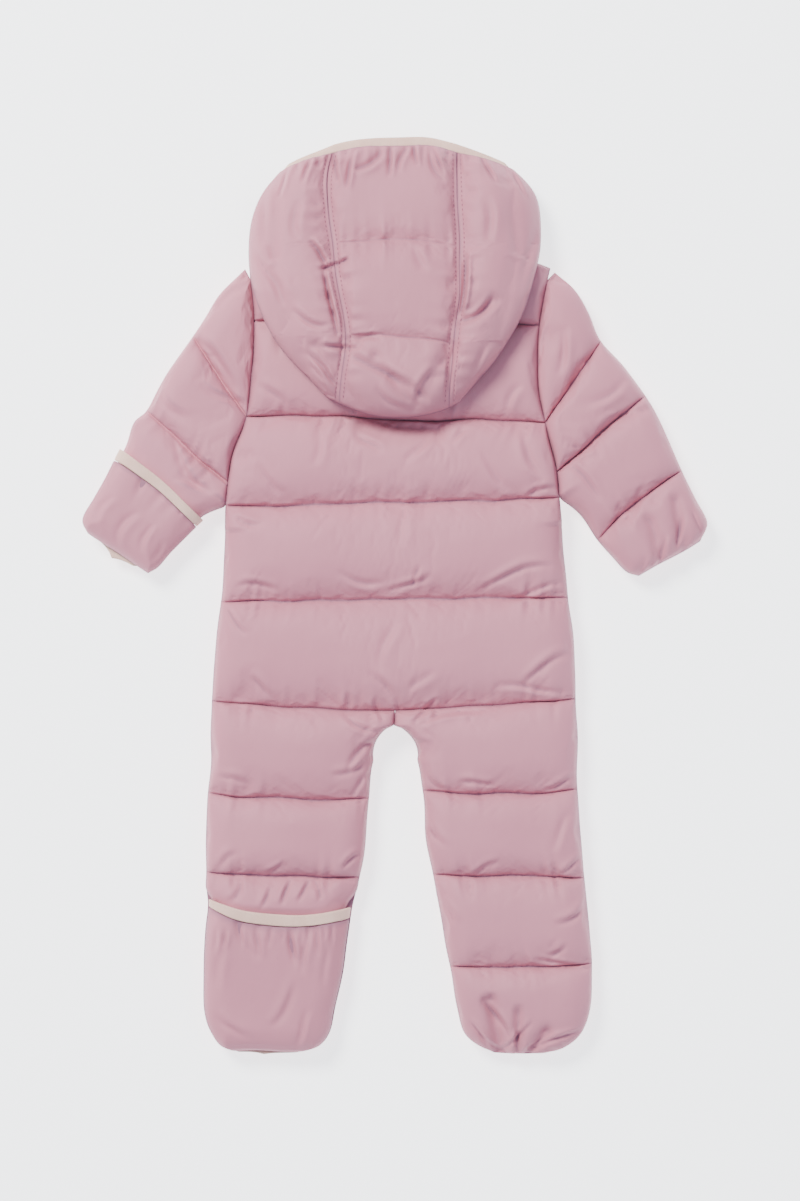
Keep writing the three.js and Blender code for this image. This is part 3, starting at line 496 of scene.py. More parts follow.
class Panel:
    """Rows of a panel, the curves of its two ends and the length down to each row."""

    def __init__(self, rows, end_b=None, own_side=0):
        if own_side:
            top = dict(rows[0], ay=rows[0]["ay"] + LEG_OVERLAP, by=rows[0]["by"] + LEG_OVERLAP)
            rows = [top, *rows[1:]]
        self.rows = rows
        self.end_a = curve_of(rows, ["ax", "ay", "sag"])
        self.end_b = end_b or curve_of(rows, ["bx", "by", "sag"])
        self.own_side = own_side
        self.last = len(rows) - 1
        middles = [(self.end_a(i) + self.end_b(i)) / 2 for i in range(len(rows))]
        steps = [np.linalg.norm(b - a) for a, b in zip(middles, middles[1:])]
        self.lengths = np.concatenate([[0], np.cumsum(steps)])

    def length_at(self, v):
        return float(np.interp(v, range(len(self.rows)), self.lengths))

    def row_at(self, length):
        return float(np.interp(length, self.lengths, range(len(self.rows))))

    def channel(self, v):
        quilts = [i for i, row in enumerate(self.rows) if row["quilt"]]
        start = max(i for i in quilts if i <= v and i < self.last)
        end = min(i for i in quilts if i > start)
        low, high = self.length_at(start), self.length_at(end)
        share = min(max((self.length_at(v) - low) / (high - low), 0), 1)
        return start, end, share, high - low

    def rows_between(self, v0, v1, step=GRID):
        """Row numbers from v0 to v1, closer together at the lines of quilting."""
        quilts = [i for i, row in enumerate(self.rows) if row["quilt"] and v0 < i < v1]
        stops = [v0, *quilts, v1]
        result = []
        for start, end in zip(stops, stops[1:]):
            low, high = self.length_at(start), self.length_at(end)
            shares = np.linspace(0, 1, max(4, round((high - low) / step)) + 1)
            shares = shares - CLUSTER * np.sin(2 * np.pi * shares) / (2 * np.pi)
            result += [self.row_at(mix(low, high, share)) for share in shares[:-1]]
        return np.array([*result, v1])

    def plan(self, u, v):
        """Places across row number v, and their distances to its two ends."""
        a, b = self.end_a(v), self.end_b(v)
        width = math.hypot(b[0] - a[0], b[1] - a[1])
        x = mix(a[0], b[0], u)
        if self.own_side:
            x = self.own_side * np.maximum(self.own_side * x, -RISE_OVERLAP)
        y = mix(a[1], b[1], u) + 4 * u * (1 - u) * value_at(self.rows, "sag", v)
        if self.own_side:
            to_inner = u if self.own_side < 0 else 1 - np.asarray(u)
            down = np.clip((CROTCH_TOP - y) / CROTCH_HEIGHT, 0, 1)
            x = x + self.own_side * CROTCH_ROUND * np.sin(np.pi * down ** 0.6) * to_inner ** 3
        return x, y, u * width, (1 - u) * width

    def full_wall(self, v, side):
        start, end, share, _ = self.channel(v)
        rise = float(channel_rise(share))
        first, last = self.rows[start], self.rows[end]
        if side > 0:
            low = mix(first["wall"], last["wall"], share) + GROOVE_LIFT * (1 - rise)
            return low + first["puff"] * rise
        drawn = [
            row["wall"] if row["wall"] < SEAM_WALL else UNDER_WALL - UNDER_GROOVE
            for row in (first, last)
        ]
        low = mix(*drawn, share)
        pressed = value_at(self.rows, "pressed", v)
        return mix(low, UNDER_WALL, min(1, rise / 0.8)) * (1 - pressed)


def drawn_in(rows, start):
    result = []
    for i, row in enumerate(rows):
        new = dict(row, pressed=0)
        if i >= start:
            share = FLAP_INSET / math.hypot(row["bx"] - row["ax"], row["by"] - row["ay"])
            lift = FLAP_INSET if i == len(rows) - 1 else 0
            new.update(
                ax=mix(row["ax"], row["bx"], share), ay=mix(row["ay"], row["by"], share) + lift,
                bx=mix(row["bx"], row["ax"], share), by=mix(row["by"], row["ay"], share) + lift,
                pressed=PRESSED,
            )
        result.append(new)
    return result


def front_rows(side_end):
    sign = -1 if side_end == "a" else 1
    last = len(TORSO_ROWS) - 1
    result = []
    for i, row in enumerate(TORSO_ROWS):
        x = sign * (ZIP_HALF_OPENING if i < last else HALF_GAP)
        y = (row["ay"] + row["by"]) / 2 + row["sag"] + (FRONT_NECK_DROP if i == 0 else 0)
        seam = SEAM_WALL if i == last else UNDER_SEAM_WALL
        new = dict(row, sag=FRONT_SHOULDER_RISE if i == 0 else row["sag"] / 4)
        if side_end == "a":
            new.update(bx=x, by=y, edgeB=seam)
        else:
            new.update(ax=x, ay=y, edgeA=seam)
        result.append(new)
    return result


def end_wall(edge, side):
    if edge <= SIDE_WALL + 1:
        return edge
    return UNDER_SEAM_WALL if side < 0 else edge + SEAM_LIFT_BACK


PUCKER_DEPTH = 1.7
PUCKER_REACH = 4.5
UNDER_PUCKERS = 0.5  # share of that on the side that lies on the floor
UNDER_FADE = 20.0


def puckers(panel, v, along, seed):
    """Short ripples that run away from the two sewn lines of the channel."""
    start, end, share, span = panel.channel(v)
    total = 0
    for line, distance in ((start, share * span), (end, (1 - share) * span)):
        swell = distance / PUCKER_REACH * math.exp(1 - distance / PUCKER_REACH)
        wave = ripple(along, seed + 17 * line, 5) + 0.6 * ripple(along, seed + 17 * line + 5, 11)
        cluster = np.clip(0.5 + 0.9 * ripple(along, seed + 17 * line + 9, 34), 0.12, 1.2)
        total = total + PUCKER_DEPTH * swell * cluster * wave
    return total


def folded(panel, wall, x, y, v, from_a, from_b, side, seed):
    """The wall with the large folds above, or with puckers below."""
    if side > 0:
        return np.maximum(wall - fold_depth(FOLDS, x, y), np.minimum(wall, SIDE_WALL))
    fade = UNDER_PUCKERS * rounded(np.minimum(from_a, from_b), UNDER_FADE)
    return np.minimum(wall + fade * puckers(panel, v, from_a, seed), UNDER_WALL)


def outer_row(panel, u, v, side, seed):
    x, y, from_a, from_b = panel.plan(u, v)
    full = panel.full_wall(v, side)
    edges = [end_wall(value_at(panel.rows, name, v), side) for name in ("edgeA", "edgeB")]
    reaches = [SEAM_ROLL if edge > SIDE_WALL + 1 else SIDE_ROLL for edge in edges]
    walls = [
        mix(min(edge, full), full, rounded(distance, reach))
        for edge, reach, distance in zip(edges, reaches, (from_a, from_b))
    ]
    wall = folded(panel, np.minimum(*walls), x, y, v, from_a, from_b, side, seed)
    return np.stack([x, y, LAYER + side * (HALF_GAP + wall)], axis=-1)


def inner_row(panel, u, v, side):
    x, y, _, _ = panel.plan(u, v)
    return np.stack([x, y, np.full_like(x, LAYER + side * HALF_GAP)], axis=-1)


# Meshes

slider_low, slider_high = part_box("zip_slider")
SHIFT = np.array([
    (slider_low[0] + slider_high[0]) / 2 / MM, slider_high[1] / MM - SLIDER_TOP, 0,
])


def place(points):
    """Millimetres of the tables to metres of the frame."""
    return (np.asarray(points, float) + SHIFT) * MM


def link(name, data):
    piece = bpy.data.objects.new(name, data)
    bpy.context.collection.objects.link(piece)
    return piece


RUMPLES = [(201, 0.7, 16.0), (211, 1.1, 44.0)]  # seed, size and spacing


def rumpled(points):
    """The points moved a little along the floor, so that seams and sides aren't quite even."""
    points = np.array(points, float)
    x, y = points[..., 0].copy(), points[..., 1].copy()
    for axis in (0, 1):
        for seed, size, spacing in RUMPLES:
            points[..., axis] += size * unevenness(x, y, seed + axis, spacing)
    return points


def faces_of(index):
    """A four cornered face between each four neighbours of a grid of point numbers."""
    corners = index[:-1, :-1], index[:-1, 1:], index[1:, 1:], index[1:, :-1]
    return np.stack(corners, -1).reshape(-1, 4)


SEAM_SHADE_NEXT = 0.3  # share of the painted shade at a panel's border, a point in from it


def wall_mesh(name, outer, inner, flat_inner=False):
    """Closed mesh between two grids of points of the same size. A flat inner side is one
    face within its border."""
    outer, inner = rumpled(outer), rumpled(inner)
    rows, columns = outer.shape[:2]
    index = np.arange(rows * columns).reshape(rows, columns)
    border = np.concatenate([index[0, :-1], index[:-1, -1], index[-1, :0:-1], index[:0:-1, 0]])
    faces = [faces_of(index)]
    if flat_inner:
        ring = inner.reshape(-1, 3)[border]
        points = np.concatenate([outer.reshape(-1, 3), ring])
        back = np.zeros_like(index)
        back.reshape(-1)[border] = rows * columns + np.arange(len(border))
    else:
        points = np.concatenate([outer.reshape(-1, 3), inner.reshape(-1, 3)])
        back = index + rows * columns
        faces.append(faces_of(back)[:, [0, 3, 2, 1]])
    ends = (0, slice(1, None)), (0, slice(-1)), (-1, slice(-1)), (-1, slice(1, None))
    sides = (slice(-1), 0), (slice(1, None), 0), (slice(1, None), -1), (slice(-1), -1)
    for first, second in (ends[:2], ends[2:], sides[:2], sides[2:]):
        faces.append(np.stack([index[first], index[second], back[second], back[first]], -1))
    corner = points[faces[0]]
    normal = np.cross(corner[:, 1] - corner[:, 0], corner[:, 2] - corner[:, 0])
    faces = np.concatenate(faces)
    facing_up = outer[..., 2].mean() > inner[..., 2].mean()
    turned = (normal[:, 2].sum() > 0) != facing_up
    if turned:
        faces = faces[:, ::-1]
    faces = faces.tolist()
    if flat_inner:
        cap = (rows * columns + np.arange(len(border))).tolist()
        faces.append(cap if turned else cap[::-1])
    mesh = bpy.data.meshes.new(name)
    mesh.from_pydata(place(points).tolist(), [], faces)
    mesh.validate()
    # Painted shade along every border of the panel, at its seams and its outer sides: the seam
    # attribute darkens the colour there.
    seam = np.ones(len(points))
    seam_shade_ring = seam[: rows * columns].reshape(rows, columns)
    seam_shade_ring[1:-1, 1:-1] = SEAM_SHADE_NEXT
    seam_shade_ring[2:-2, 2:-2] = 0
    mesh.attributes.new("seam", "FLOAT", "POINT").data.foreach_set("value", seam)
    for polygon in mesh.polygons:
        polygon.use_smooth = True
    return link(name, mesh)


def refined(grid):
    """The grid with a point between each two, on a smooth curve through its neighbours."""
    for axis in (0, 1):
        grid = np.moveaxis(grid, axis, 0)
        ends = np.concatenate([[2 * grid[0] - grid[1]], grid, [2 * grid[-1] - grid[-2]]])
        middles = (9 * (ends[1:-2] + ends[2:-1]) - ends[:-3] - ends[3:]) / 16
        result = np.empty((2 * len(grid) - 1, *grid.shape[1:]))
        result[::2], result[1::2] = grid, middles
        grid = np.moveaxis(result, 0, axis)
    return grid


def halved(steps):
    """The same steps with one between each two."""
    return np.interp(np.arange(2 * len(steps) - 1) / 2, np.arange(len(steps)), steps)


def grid_of(row_function, us, vs):
    return np.stack([row_function(us, v) for v in vs])


def across(width, step=GRID):
    """Shares across a panel, a little closer together at its two ends."""
    count = max(6, round(width / step))
    even = np.linspace(0, 1, count + 1)
    return even - 0.35 / count * np.sin(2 * np.pi * even)


PRESSURE = 1.6
GROWTH = 0.005
SETTLING_FRAMES = 16
FARTHEST = 4  # millimetres that settling may move a point
CLOTH = {
    "quality": 5, "mass": 0.15, "tension_stiffness": 12, "compression_stiffness": 12,
    "shear_stiffness": 4, "bending_stiffness": 0.08, "air_damping": 4,
    "vertex_group_mass": "sewn", "pin_stiffness": 4, "shrink_min": -GROWTH,
    "use_pressure": True, "uniform_pressure_force": PRESSURE,
}


def settle(grid, pinned):
    """Drapes the outer cloth of a panel with Blender's cloth: pinned points stay sewn, and
    the rest grows a little and is pushed out by the wadding."""
    rows, columns = grid.shape[:2]
    index = np.arange(rows * columns).reshape(rows, columns)
    faces = faces_of(index)
    points = place(grid.reshape(-1, 3))
    corner = points[faces[len(faces) // 2]]
    if np.cross(corner[1] - corner[0], corner[2] - corner[0])[2] < 0:
        faces = faces[:, ::-1]
    mesh = bpy.data.meshes.new("drape")
    mesh.from_pydata(points.tolist(), [], faces.tolist())
    piece = link("drape", mesh)
    group = piece.vertex_groups.new(name="sewn")
    flat = pinned.reshape(-1)
    for weight in np.unique(flat):
        if weight > 0:
            group.add(np.nonzero(flat == weight)[0].tolist(), float(weight), "REPLACE")
    modifier = piece.modifiers.new("Cloth", "CLOTH")
    for setting, value in CLOTH.items():
        setattr(modifier.settings, setting, value)
    modifier.settings.effector_weights.gravity = 0
    modifier.collision_settings.use_collision = False
    scene = bpy.context.scene
    modifier.point_cache.frame_start = 1
    modifier.point_cache.frame_end = SETTLING_FRAMES
    for number in range(1, SETTLING_FRAMES + 1):
        scene.frame_set(number)
    result = piece.evaluated_get(bpy.context.evaluated_depsgraph_get()).to_mesh()
    moved = np.empty(len(result.vertices) * 3)
    result.vertices.foreach_get("co", moved)
    moved = moved.reshape(-1, 3)
    step = (moved - points) / MM
    length = np.linalg.norm(step, axis=1, keepdims=True)
    step *= np.minimum(1, FARTHEST / np.maximum(length, 1e-6))
    bpy.data.objects.remove(piece)
    scene.frame_set(1)
    return grid + step.reshape(grid.shape)


def sewn_rows(panel, vs, columns):
    """Pin weights: the rows on lines of quilting and all four borders."""
    pinned = np.zeros((len(vs), columns))
    lengths = np.array([panel.length_at(v) for v in vs])
    for i, row in enumerate(panel.rows):
        if row["quilt"]:
            nearest = int(np.argmin(np.abs(lengths - panel.length_at(i))))
            pinned[nearest] = 1
    pinned[0] = pinned[-1] = 1
    pinned[:, 0] = pinned[:, -1] = 1
    return pinned


# Materials

ROSE = (0.605, 0.232, 0.29)
ROSE_SHADE = (0.58, 0.218, 0.275)
# painted shade, the colour of the cloth in its hollows and along its seams
HOLLOW_SHADE = (0.33, 0.145, 0.2)
THREAD_ROSE = (0.38, 0.14, 0.2)
BEIGE = (0.86, 0.56, 0.45)
BEIGE_SHADE = (0.78, 0.49, 0.39)
TAPE = (0.52, 0.2, 0.26)
STEEL = (0.50, 0.50, 0.53)


def tinted(colour, share):
    return tuple(share * part for part in colour)


def base_material(name, roughness, sheen=0.0, metallic=0.0):
    material = bpy.data.materials.new(name)
    material.use_nodes = True
    shader = material.node_tree.nodes["Principled BSDF"]
    shader.inputs["Roughness"].default_value = roughness
    shader.inputs["Metallic"].default_value = metallic
    shader.inputs["Sheen Weight"].default_value = sheen
    shader.inputs["Specular IOR Level"].default_value = 0.2 if metallic == 0 else 0.5
    shader.inputs["Sheen Roughness"].default_value = 0.45
    tree = material.node_tree
    coordinates = tree.nodes.new("ShaderNodeTexCoord").outputs["Object"]
    return material, tree, shader, coordinates


def noise_node(tree, coordinates, scale, detail=3.0, stretch=None):
    source = coordinates
    if stretch:
        mapping = tree.nodes.new("ShaderNodeMapping")
        mapping.inputs["Scale"].default_value = stretch
        tree.links.new(coordinates, mapping.inputs["Vector"])
        source = mapping.outputs["Vector"]
    noise = tree.nodes.new("ShaderNodeTexNoise")
    noise.inputs["Scale"].default_value = scale
    noise.inputs["Detail"].default_value = detail
    tree.links.new(source, noise.inputs["Vector"])
    return noise


def add_bump(tree, shader, height, distance, strength, after=None):
    bump = tree.nodes.new("ShaderNodeBump")
    bump.inputs["Distance"].default_value = distance
    bump.inputs["Strength"].default_value = strength
    tree.links.new(height, bump.inputs["Height"])
    if after:
        tree.links.new(after, bump.inputs["Normal"])
    tree.links.new(bump.outputs["Normal"], shader.inputs["Normal"])
    return bump.outputs["Normal"]


def colour_variation(tree, shader, coordinates, light, shade, scale):
    noise = noise_node(tree, coordinates, scale, 4)
    ramp = tree.nodes.new("ShaderNodeValToRGB")
    ramp.color_ramp.elements[0].position = 0.3
    ramp.color_ramp.elements[0].color = (*shade, 1)
    ramp.color_ramp.elements[1].position = 0.62
    ramp.color_ramp.elements[1].color = (*light, 1)
    tree.links.new(noise.outputs["Fac"], ramp.inputs["Fac"])
    tree.links.new(ramp.outputs["Color"], shader.inputs["Base Color"])
    return ramp.outputs["Color"]


HOLLOW_START, HOLLOW_FULL = 0.487, 0.425  # pointiness, which is 0.5 where flat; the painted shade starts at the first and is full at the second


def paint_hollow_shade(tree, shader, colour, shade_colour):
    """Painted shade: the cloth's colour turns darker in its sharp hollows and along its seams and
    borders, where shade falls.
    """
    shape = tree.nodes.new("ShaderNodeNewGeometry").outputs["Pointiness"]
    depth = tree.nodes.new("ShaderNodeMapRange")
    depth.inputs["From Min"].default_value = HOLLOW_START
    depth.inputs["From Max"].default_value = HOLLOW_FULL
    blend = tree.nodes.new("ShaderNodeMix")
    blend.data_type = "RGBA"
    blend.inputs[7].default_value = (*shade_colour, 1)
    tree.links.new(shape, depth.inputs["Value"])
    # the seam attribute carries the painted shade at the panels' borders
    seam = tree.nodes.new("ShaderNodeAttribute")
    seam.attribute_name = "seam"
    painted_shade_share = tree.nodes.new("ShaderNodeMath")
    painted_shade_share.operation = "MAXIMUM"
    tree.links.new(depth.outputs["Result"], painted_shade_share.inputs[0])
    tree.links.new(seam.outputs["Fac"], painted_shade_share.inputs[1])
    tree.links.new(painted_shade_share.outputs[0], blend.inputs[0])
    tree.links.new(colour, blend.inputs[6])
    tree.links.new(blend.outputs[2], shader.inputs["Base Color"])


def weave_wave(tree, coordinates, direction, scale):
    wave = tree.nodes.new("ShaderNodeTexWave")
    wave.wave_type = "BANDS"
    wave.bands_direction = direction
    wave.inputs["Scale"].default_value = scale
    wave.inputs["Distortion"].default_value = 0.5
    wave.inputs["Detail"].default_value = 1
    tree.links.new(coordinates, wave.inputs["Vector"])
    return wave


WEAVE_SCALE = 420
WEAVE_STRENGTH = 0.35
WEAVE_HEIGHT = 0.0001  # metres, as the next two
SMALL_CRINKLES = 0.0009
BROAD_CRINKLES = 0.003


def cloth_material(name, light, shade, crinkle):
    material, tree, shader, coordinates = base_material(name, 0.55, sheen=0.05)
    colour = colour_variation(tree, shader, coordinates, light, shade, 9)
    # painted shade in the hollows and along the seams
    paint_hollow_shade(tree, shader, colour, HOLLOW_SHADE)
    warp = weave_wave(tree, coordinates, "X", WEAVE_SCALE)
    weft = weave_wave(tree, coordinates, "Y", WEAVE_SCALE)
    both = tree.nodes.new("ShaderNodeMath")
    both.operation = "MAXIMUM"
    tree.links.new(warp.outputs["Fac"], both.inputs[0])
    tree.links.new(weft.outputs["Fac"], both.inputs[1])
    weave = add_bump(tree, shader, both.outputs[0], WEAVE_HEIGHT, WEAVE_STRENGTH)
    small = noise_node(tree, coordinates, 90, 4, (1, 0.6, 1))
    crinkled = add_bump(tree, shader, small.outputs["Fac"], SMALL_CRINKLES, crinkle, weave)
    broad = noise_node(tree, coordinates, 26, 3, (1, 0.5, 1))
    add_bump(tree, shader, broad.outputs["Fac"], BROAD_CRINKLES, crinkle, crinkled)
    return material


def ribbed_material(name, colours, roughness, spots, rib=None, grain=None, **shine):
    """A material of two colours in spots, with ribs and a grain as bump where given."""
    material, tree, shader, coordinates = base_material(name, roughness, **shine)
    colour_variation(tree, shader, coordinates, *colours, spots)
    normal = None
    if rib:
        direction, scale, strength = rib
        wave = weave_wave(tree, coordinates, direction, scale)
        normal = add_bump(tree, shader, wave.outputs["Fac"], 0.0003, strength)
    if grain:
        scale, detail, stretch, distance, strength = grain
        noise = noise_node(tree, coordinates, scale, detail, stretch)
        add_bump(tree, shader, noise.outputs["Fac"], distance, strength, normal)
    return material


SHELL = cloth_material("shell cloth", ROSE, ROSE_SHADE, 0.4)
# Painted shade: the hood's cloth is the shell's rose painted darker, the same fabric shaded where
# the hood lies nearer the light.
SHADED_HOOD_CLOTH = cloth_material("shaded hood cloth", tinted(ROSE, 0.93), tinted(ROSE_SHADE, 0.92), 0.4)
# Painted shade: the flaps' cloth is the shell's rose painted a little darker, with more crinkles.
SHADED_FLAP_CLOTH = cloth_material("shaded flap cloth", tinted(ROSE, 0.97), tinted(ROSE_SHADE, 0.96), 0.5)
ELASTIC = ribbed_material(
    "elastic", (BEIGE, BEIGE_SHADE), 0.8, 60,
    rib=("X", 260, 0.5), grain=(300, 3, None, 0.0005, 0.5), sheen=0.3,
)
ZIP_TAPE = ribbed_material(
    "tape", (TAPE, tinted(TAPE, 0.8)), 0.85, 80, rib=("Y", 300, 0.6), sheen=0.2,
)
ZIP_STEEL = ribbed_material(
    "steel", (STEEL, tinted(STEEL, 0.75)), 0.34, 200,
    grain=(700, 2, (1, 0.1, 1), 0.0001, 0.4), metallic=1.0,
)
THREAD_COLOURS = THREAD_ROSE, tinted(THREAD_ROSE, 0.85)
THREAD = ribbed_material("thread", THREAD_COLOURS, 0.7, 150, sheen=0.2)
TEETH = ribbed_material("teeth", THREAD_COLOURS, 0.45, 150, sheen=0.2)


def finish_piece(piece, node, material, smooth=1):
    """Material, finer mesh, body and node of a piece."""
    piece.data.materials.append(material)
    if smooth:
        modifier = piece.modifiers.new("finer", "SUBSURF")
        modifier.levels = modifier.render_levels = smooth
    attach(piece, "root")
    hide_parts(node)
    return piece


BORDER_FADE = 14
SEWN_FADE = 9
SEWN_SHARE = 0.35  # share of the creases' height on a sewn line
UNEVEN = 1.1


def crumple(outer, panel, us, vs, seed):
    """Adds the creases and a broad unevenness, faded out at the borders and the sewn lines."""
    for j, v in enumerate(vs):
        _, _, span_share, span = panel.channel(v)
        _, _, from_a, from_b = panel.plan(us, v)
        x, y = outer[j, :, 0], outer[j, :, 1]
        fade = rounded(np.minimum(from_a, from_b), BORDER_FADE)
        sewn = float(rounded(min(span_share, 1 - span_share) * span + 0.8, SEWN_FADE))
        height = crease_height(CREASES, x, y) + UNEVEN * sewn * unevenness(x, y, seed)
        height = height * mix(SEWN_SHARE, 1, sewn) + puckers(panel, v, from_a, seed)
        outer[j, :, 2] += height * fade


PRESSING_ROWS = 0.25
PRESSED_GAP = 0.8


def press_flat(outer, panel, us, vs, flap):
    """Keeps the padding under a turned back flap below that flap's inner side."""
    for j, v in enumerate(vs):
        start = flap_start(flap, us) - PRESSING_ROWS
        _, _, from_a, from_b = panel.plan(us, v)
        to_end = panel.length_at(panel.last) - panel.length_at(v)
        rise = rounded(np.minimum(np.minimum(from_a, from_b), to_end), SIDE_ROLL)
        ceiling = LAYER + (FLAP_RISE - FLAP_WALL - PRESSED_GAP) * rise
        share = np.clip((v - start) / PRESSING_ROWS, 0, 1)
        pressed = np.minimum(outer[j, :, 2], ceiling)
        outer[j, :, 2] = mix(outer[j, :, 2], pressed, share)


def flap_start(flap, u):
    return mix(flap["startA"], flap["startB"], u) + 4 * u * (1 - u) * flap["bend"]


def add_panel(node, panel, side, v0, v1, width, seed, under_flap=None):
    grid = GRID if side > 0 else HIDDEN_GRID
    us = across(width, grid)
    vs = panel.rows_between(v0, v1, grid)
    outer = grid_of(lambda u, v: outer_row(panel, u, v, side, seed), us, vs)
    inner = grid_of(lambda u, v: inner_row(panel, u, v, side), us, vs)
    if side > 0:
        outer = settle(outer, sewn_rows(panel, vs, len(us)))
        outer, inner, us, vs = refined(outer), refined(inner), halved(us), halved(vs)
        crumple(outer, panel, us, vs, seed)
    if under_flap is not None:
        press_flat(outer, panel, us, vs, under_flap)
    piece = wall_mesh(f"cloth_{node}", outer, inner, side > 0)
    return finish_piece(piece, node, SHELL, 0 if side > 0 else 1)


# Torso and legs
torso = Panel(TORSO_ROWS)
add_panel("back_yoke", torso, 1, 0, YOKE_SEAM_ROW, 250, 11)
add_panel("back_torso", torso, 1, YOKE_SEAM_ROW, torso.last, 300, 23)
for node, end in (("front_left", "a"), ("front_right", "b")):
    half = Panel(front_rows(end))
    add_panel(node, half, -1, 0, half.last, 140, 31)

LEGS = {
    "left": {"rows": LEG_LEFT_ROWS, "flap_side": 1, "own_side": -1},
    "right": {"rows": LEG_RIGHT_ROWS, "flap_side": -1, "own_side": 1},
}
for name, leg in LEGS.items():
    plain = Panel(leg["rows"], own_side=leg["own_side"])
    drawn = Panel(drawn_in(leg["rows"], LEG_FLAP_ROW), own_side=leg["own_side"])
    back = drawn if leg["flap_side"] > 0 else plain
    front = drawn if leg["flap_side"] < 0 else plain
    over = FLAPS[f"foot_{name}"] if leg["flap_side"] > 0 else None
    add_panel(f"leg_back_{name}", back, 1, 0, back.last, 135, 41, over)
    add_panel(f"leg_front_{name}", front, -1, 0, front.last, 135, 47)


# Sleeves

def make_sleeve(rows, armhole):
    below = curve_of(rows[SLEEVE_UNDERARM_ROW:], ["bx", "by", "sag"])

    def end_b(v):
        if v > SLEEVE_UNDERARM_ROW:
            return below(v - SLEEVE_UNDERARM_ROW)
        point = armhole(value_at(rows, "arm", v))
        return np.array([point[0], point[1], 0])

    return Panel(rows, end_b)


FOLD_WALL = 3.0
SLEEVE_WIDTH = 90
SLEEVE_SEED = 53


def sleeve_half(panel, share, v, side, seed):
    """Outer surface of one layer of a sleeve. share is 0 at the inner side, 1 at the fold."""
    x, y, from_a, from_b = panel.plan(1 - share, v)
    full = panel.full_wall(v, side)
    sewn = v < SLEEVE_UNDERARM_ROW
    seam = end_wall(SEAM_WALL if sewn else SIDE_WALL, side)
    from_fold = full * rounded(from_a, SIDE_ROLL)
    from_seam = mix(min(seam, full), full, rounded(from_b, SEAM_ROLL if sewn else SIDE_ROLL))
    wall = np.minimum(from_fold, from_seam)
    wall = folded(panel, wall, x, y, v, from_a, from_b, side, seed)
    gap = np.where(share >= 1, 0, HALF_GAP)
    return np.stack([x, y, LAYER + side * (gap + wall)], axis=-1)


def sleeve_lining(panel, share, v, side):
    x, y, from_a, from_b = panel.plan(1 - share, v)
    b = panel.end_b(v)
    inward = share * FOLD_WALL / (from_a + from_b)
    gap = np.where(share >= 1, 0, HALF_GAP)
    return np.stack([mix(x, b[0], inward), mix(y, b[1], inward), LAYER + side * gap], axis=-1)


SLEEVES = {
    "left": {"rows": SLEEVE_LEFT_ROWS, "armhole": torso.end_a, "open": True},
    "right": {"rows": SLEEVE_RIGHT_ROWS, "armhole": torso.end_b, "open": False},
}
for name, sleeve in SLEEVES.items():
    drawn = make_sleeve(drawn_in(sleeve["rows"], SLEEVE_FLAP_ROW), sleeve["armhole"])
    sleeve["plain"] = make_sleeve(sleeve["rows"], sleeve["armhole"])
    sleeve["drawn"] = drawn
    upper = drawn if sleeve["open"] else sleeve["plain"]
    shares = across(SLEEVE_WIDTH)
    vs = drawn.rows_between(0, drawn.last)
    top = grid_of(lambda s, v: sleeve_half(upper, s, v, 1, SLEEVE_SEED), shares, vs)
    bottom = grid_of(lambda s, v: sleeve_half(drawn, s, v, -1, 59), shares, vs)
    top = settle(top, sewn_rows(upper, vs, len(shares)))
    lining_top = grid_of(lambda s, v: sleeve_lining(upper, s, v, 1), shares, vs)
    lining_bottom = grid_of(lambda s, v: sleeve_lining(drawn, s, v, -1), shares, vs)
    top, bottom, lining_top, lining_bottom = (
        refined(grid) for grid in (top, bottom, lining_top, lining_bottom)
    )
    shares, vs = halved(shares), halved(vs)
    crumple(top, upper, 1 - shares, vs, SLEEVE_SEED)
    if sleeve["open"]:
        press_flat(top, upper, 1 - shares, vs, FLAPS[f"hand_{name}"])
    outer = np.concatenate([top, bottom[:, -2::-1]], axis=1)
    inner = np.concatenate([lining_top, lining_bottom[:, -2::-1]], axis=1)
    piece = wall_mesh(f"cloth_sleeve_{name}", outer, inner)
    finish_piece(piece, f"sleeve_{name}", SHELL, 0)


# Flaps and their bands

FLAP_EDGE = 0.2
END_INSET_ROWS = 0.12


def flap_surface(panel, side, u, v, drop):
    x, y, from_a, from_b = panel.plan(u, v)
    height = FLAP_RISE if side > 0 else LAYER - 2 * SEAM_GAP
    to_end = panel.length_at(panel.last) - panel.length_at(v)
    rise = rounded(np.minimum(np.minimum(from_a, from_b), to_end), SIDE_ROLL)
    return x, y, rise, LAYER + side * (2 * SEAM_GAP + (height - drop) * rise)


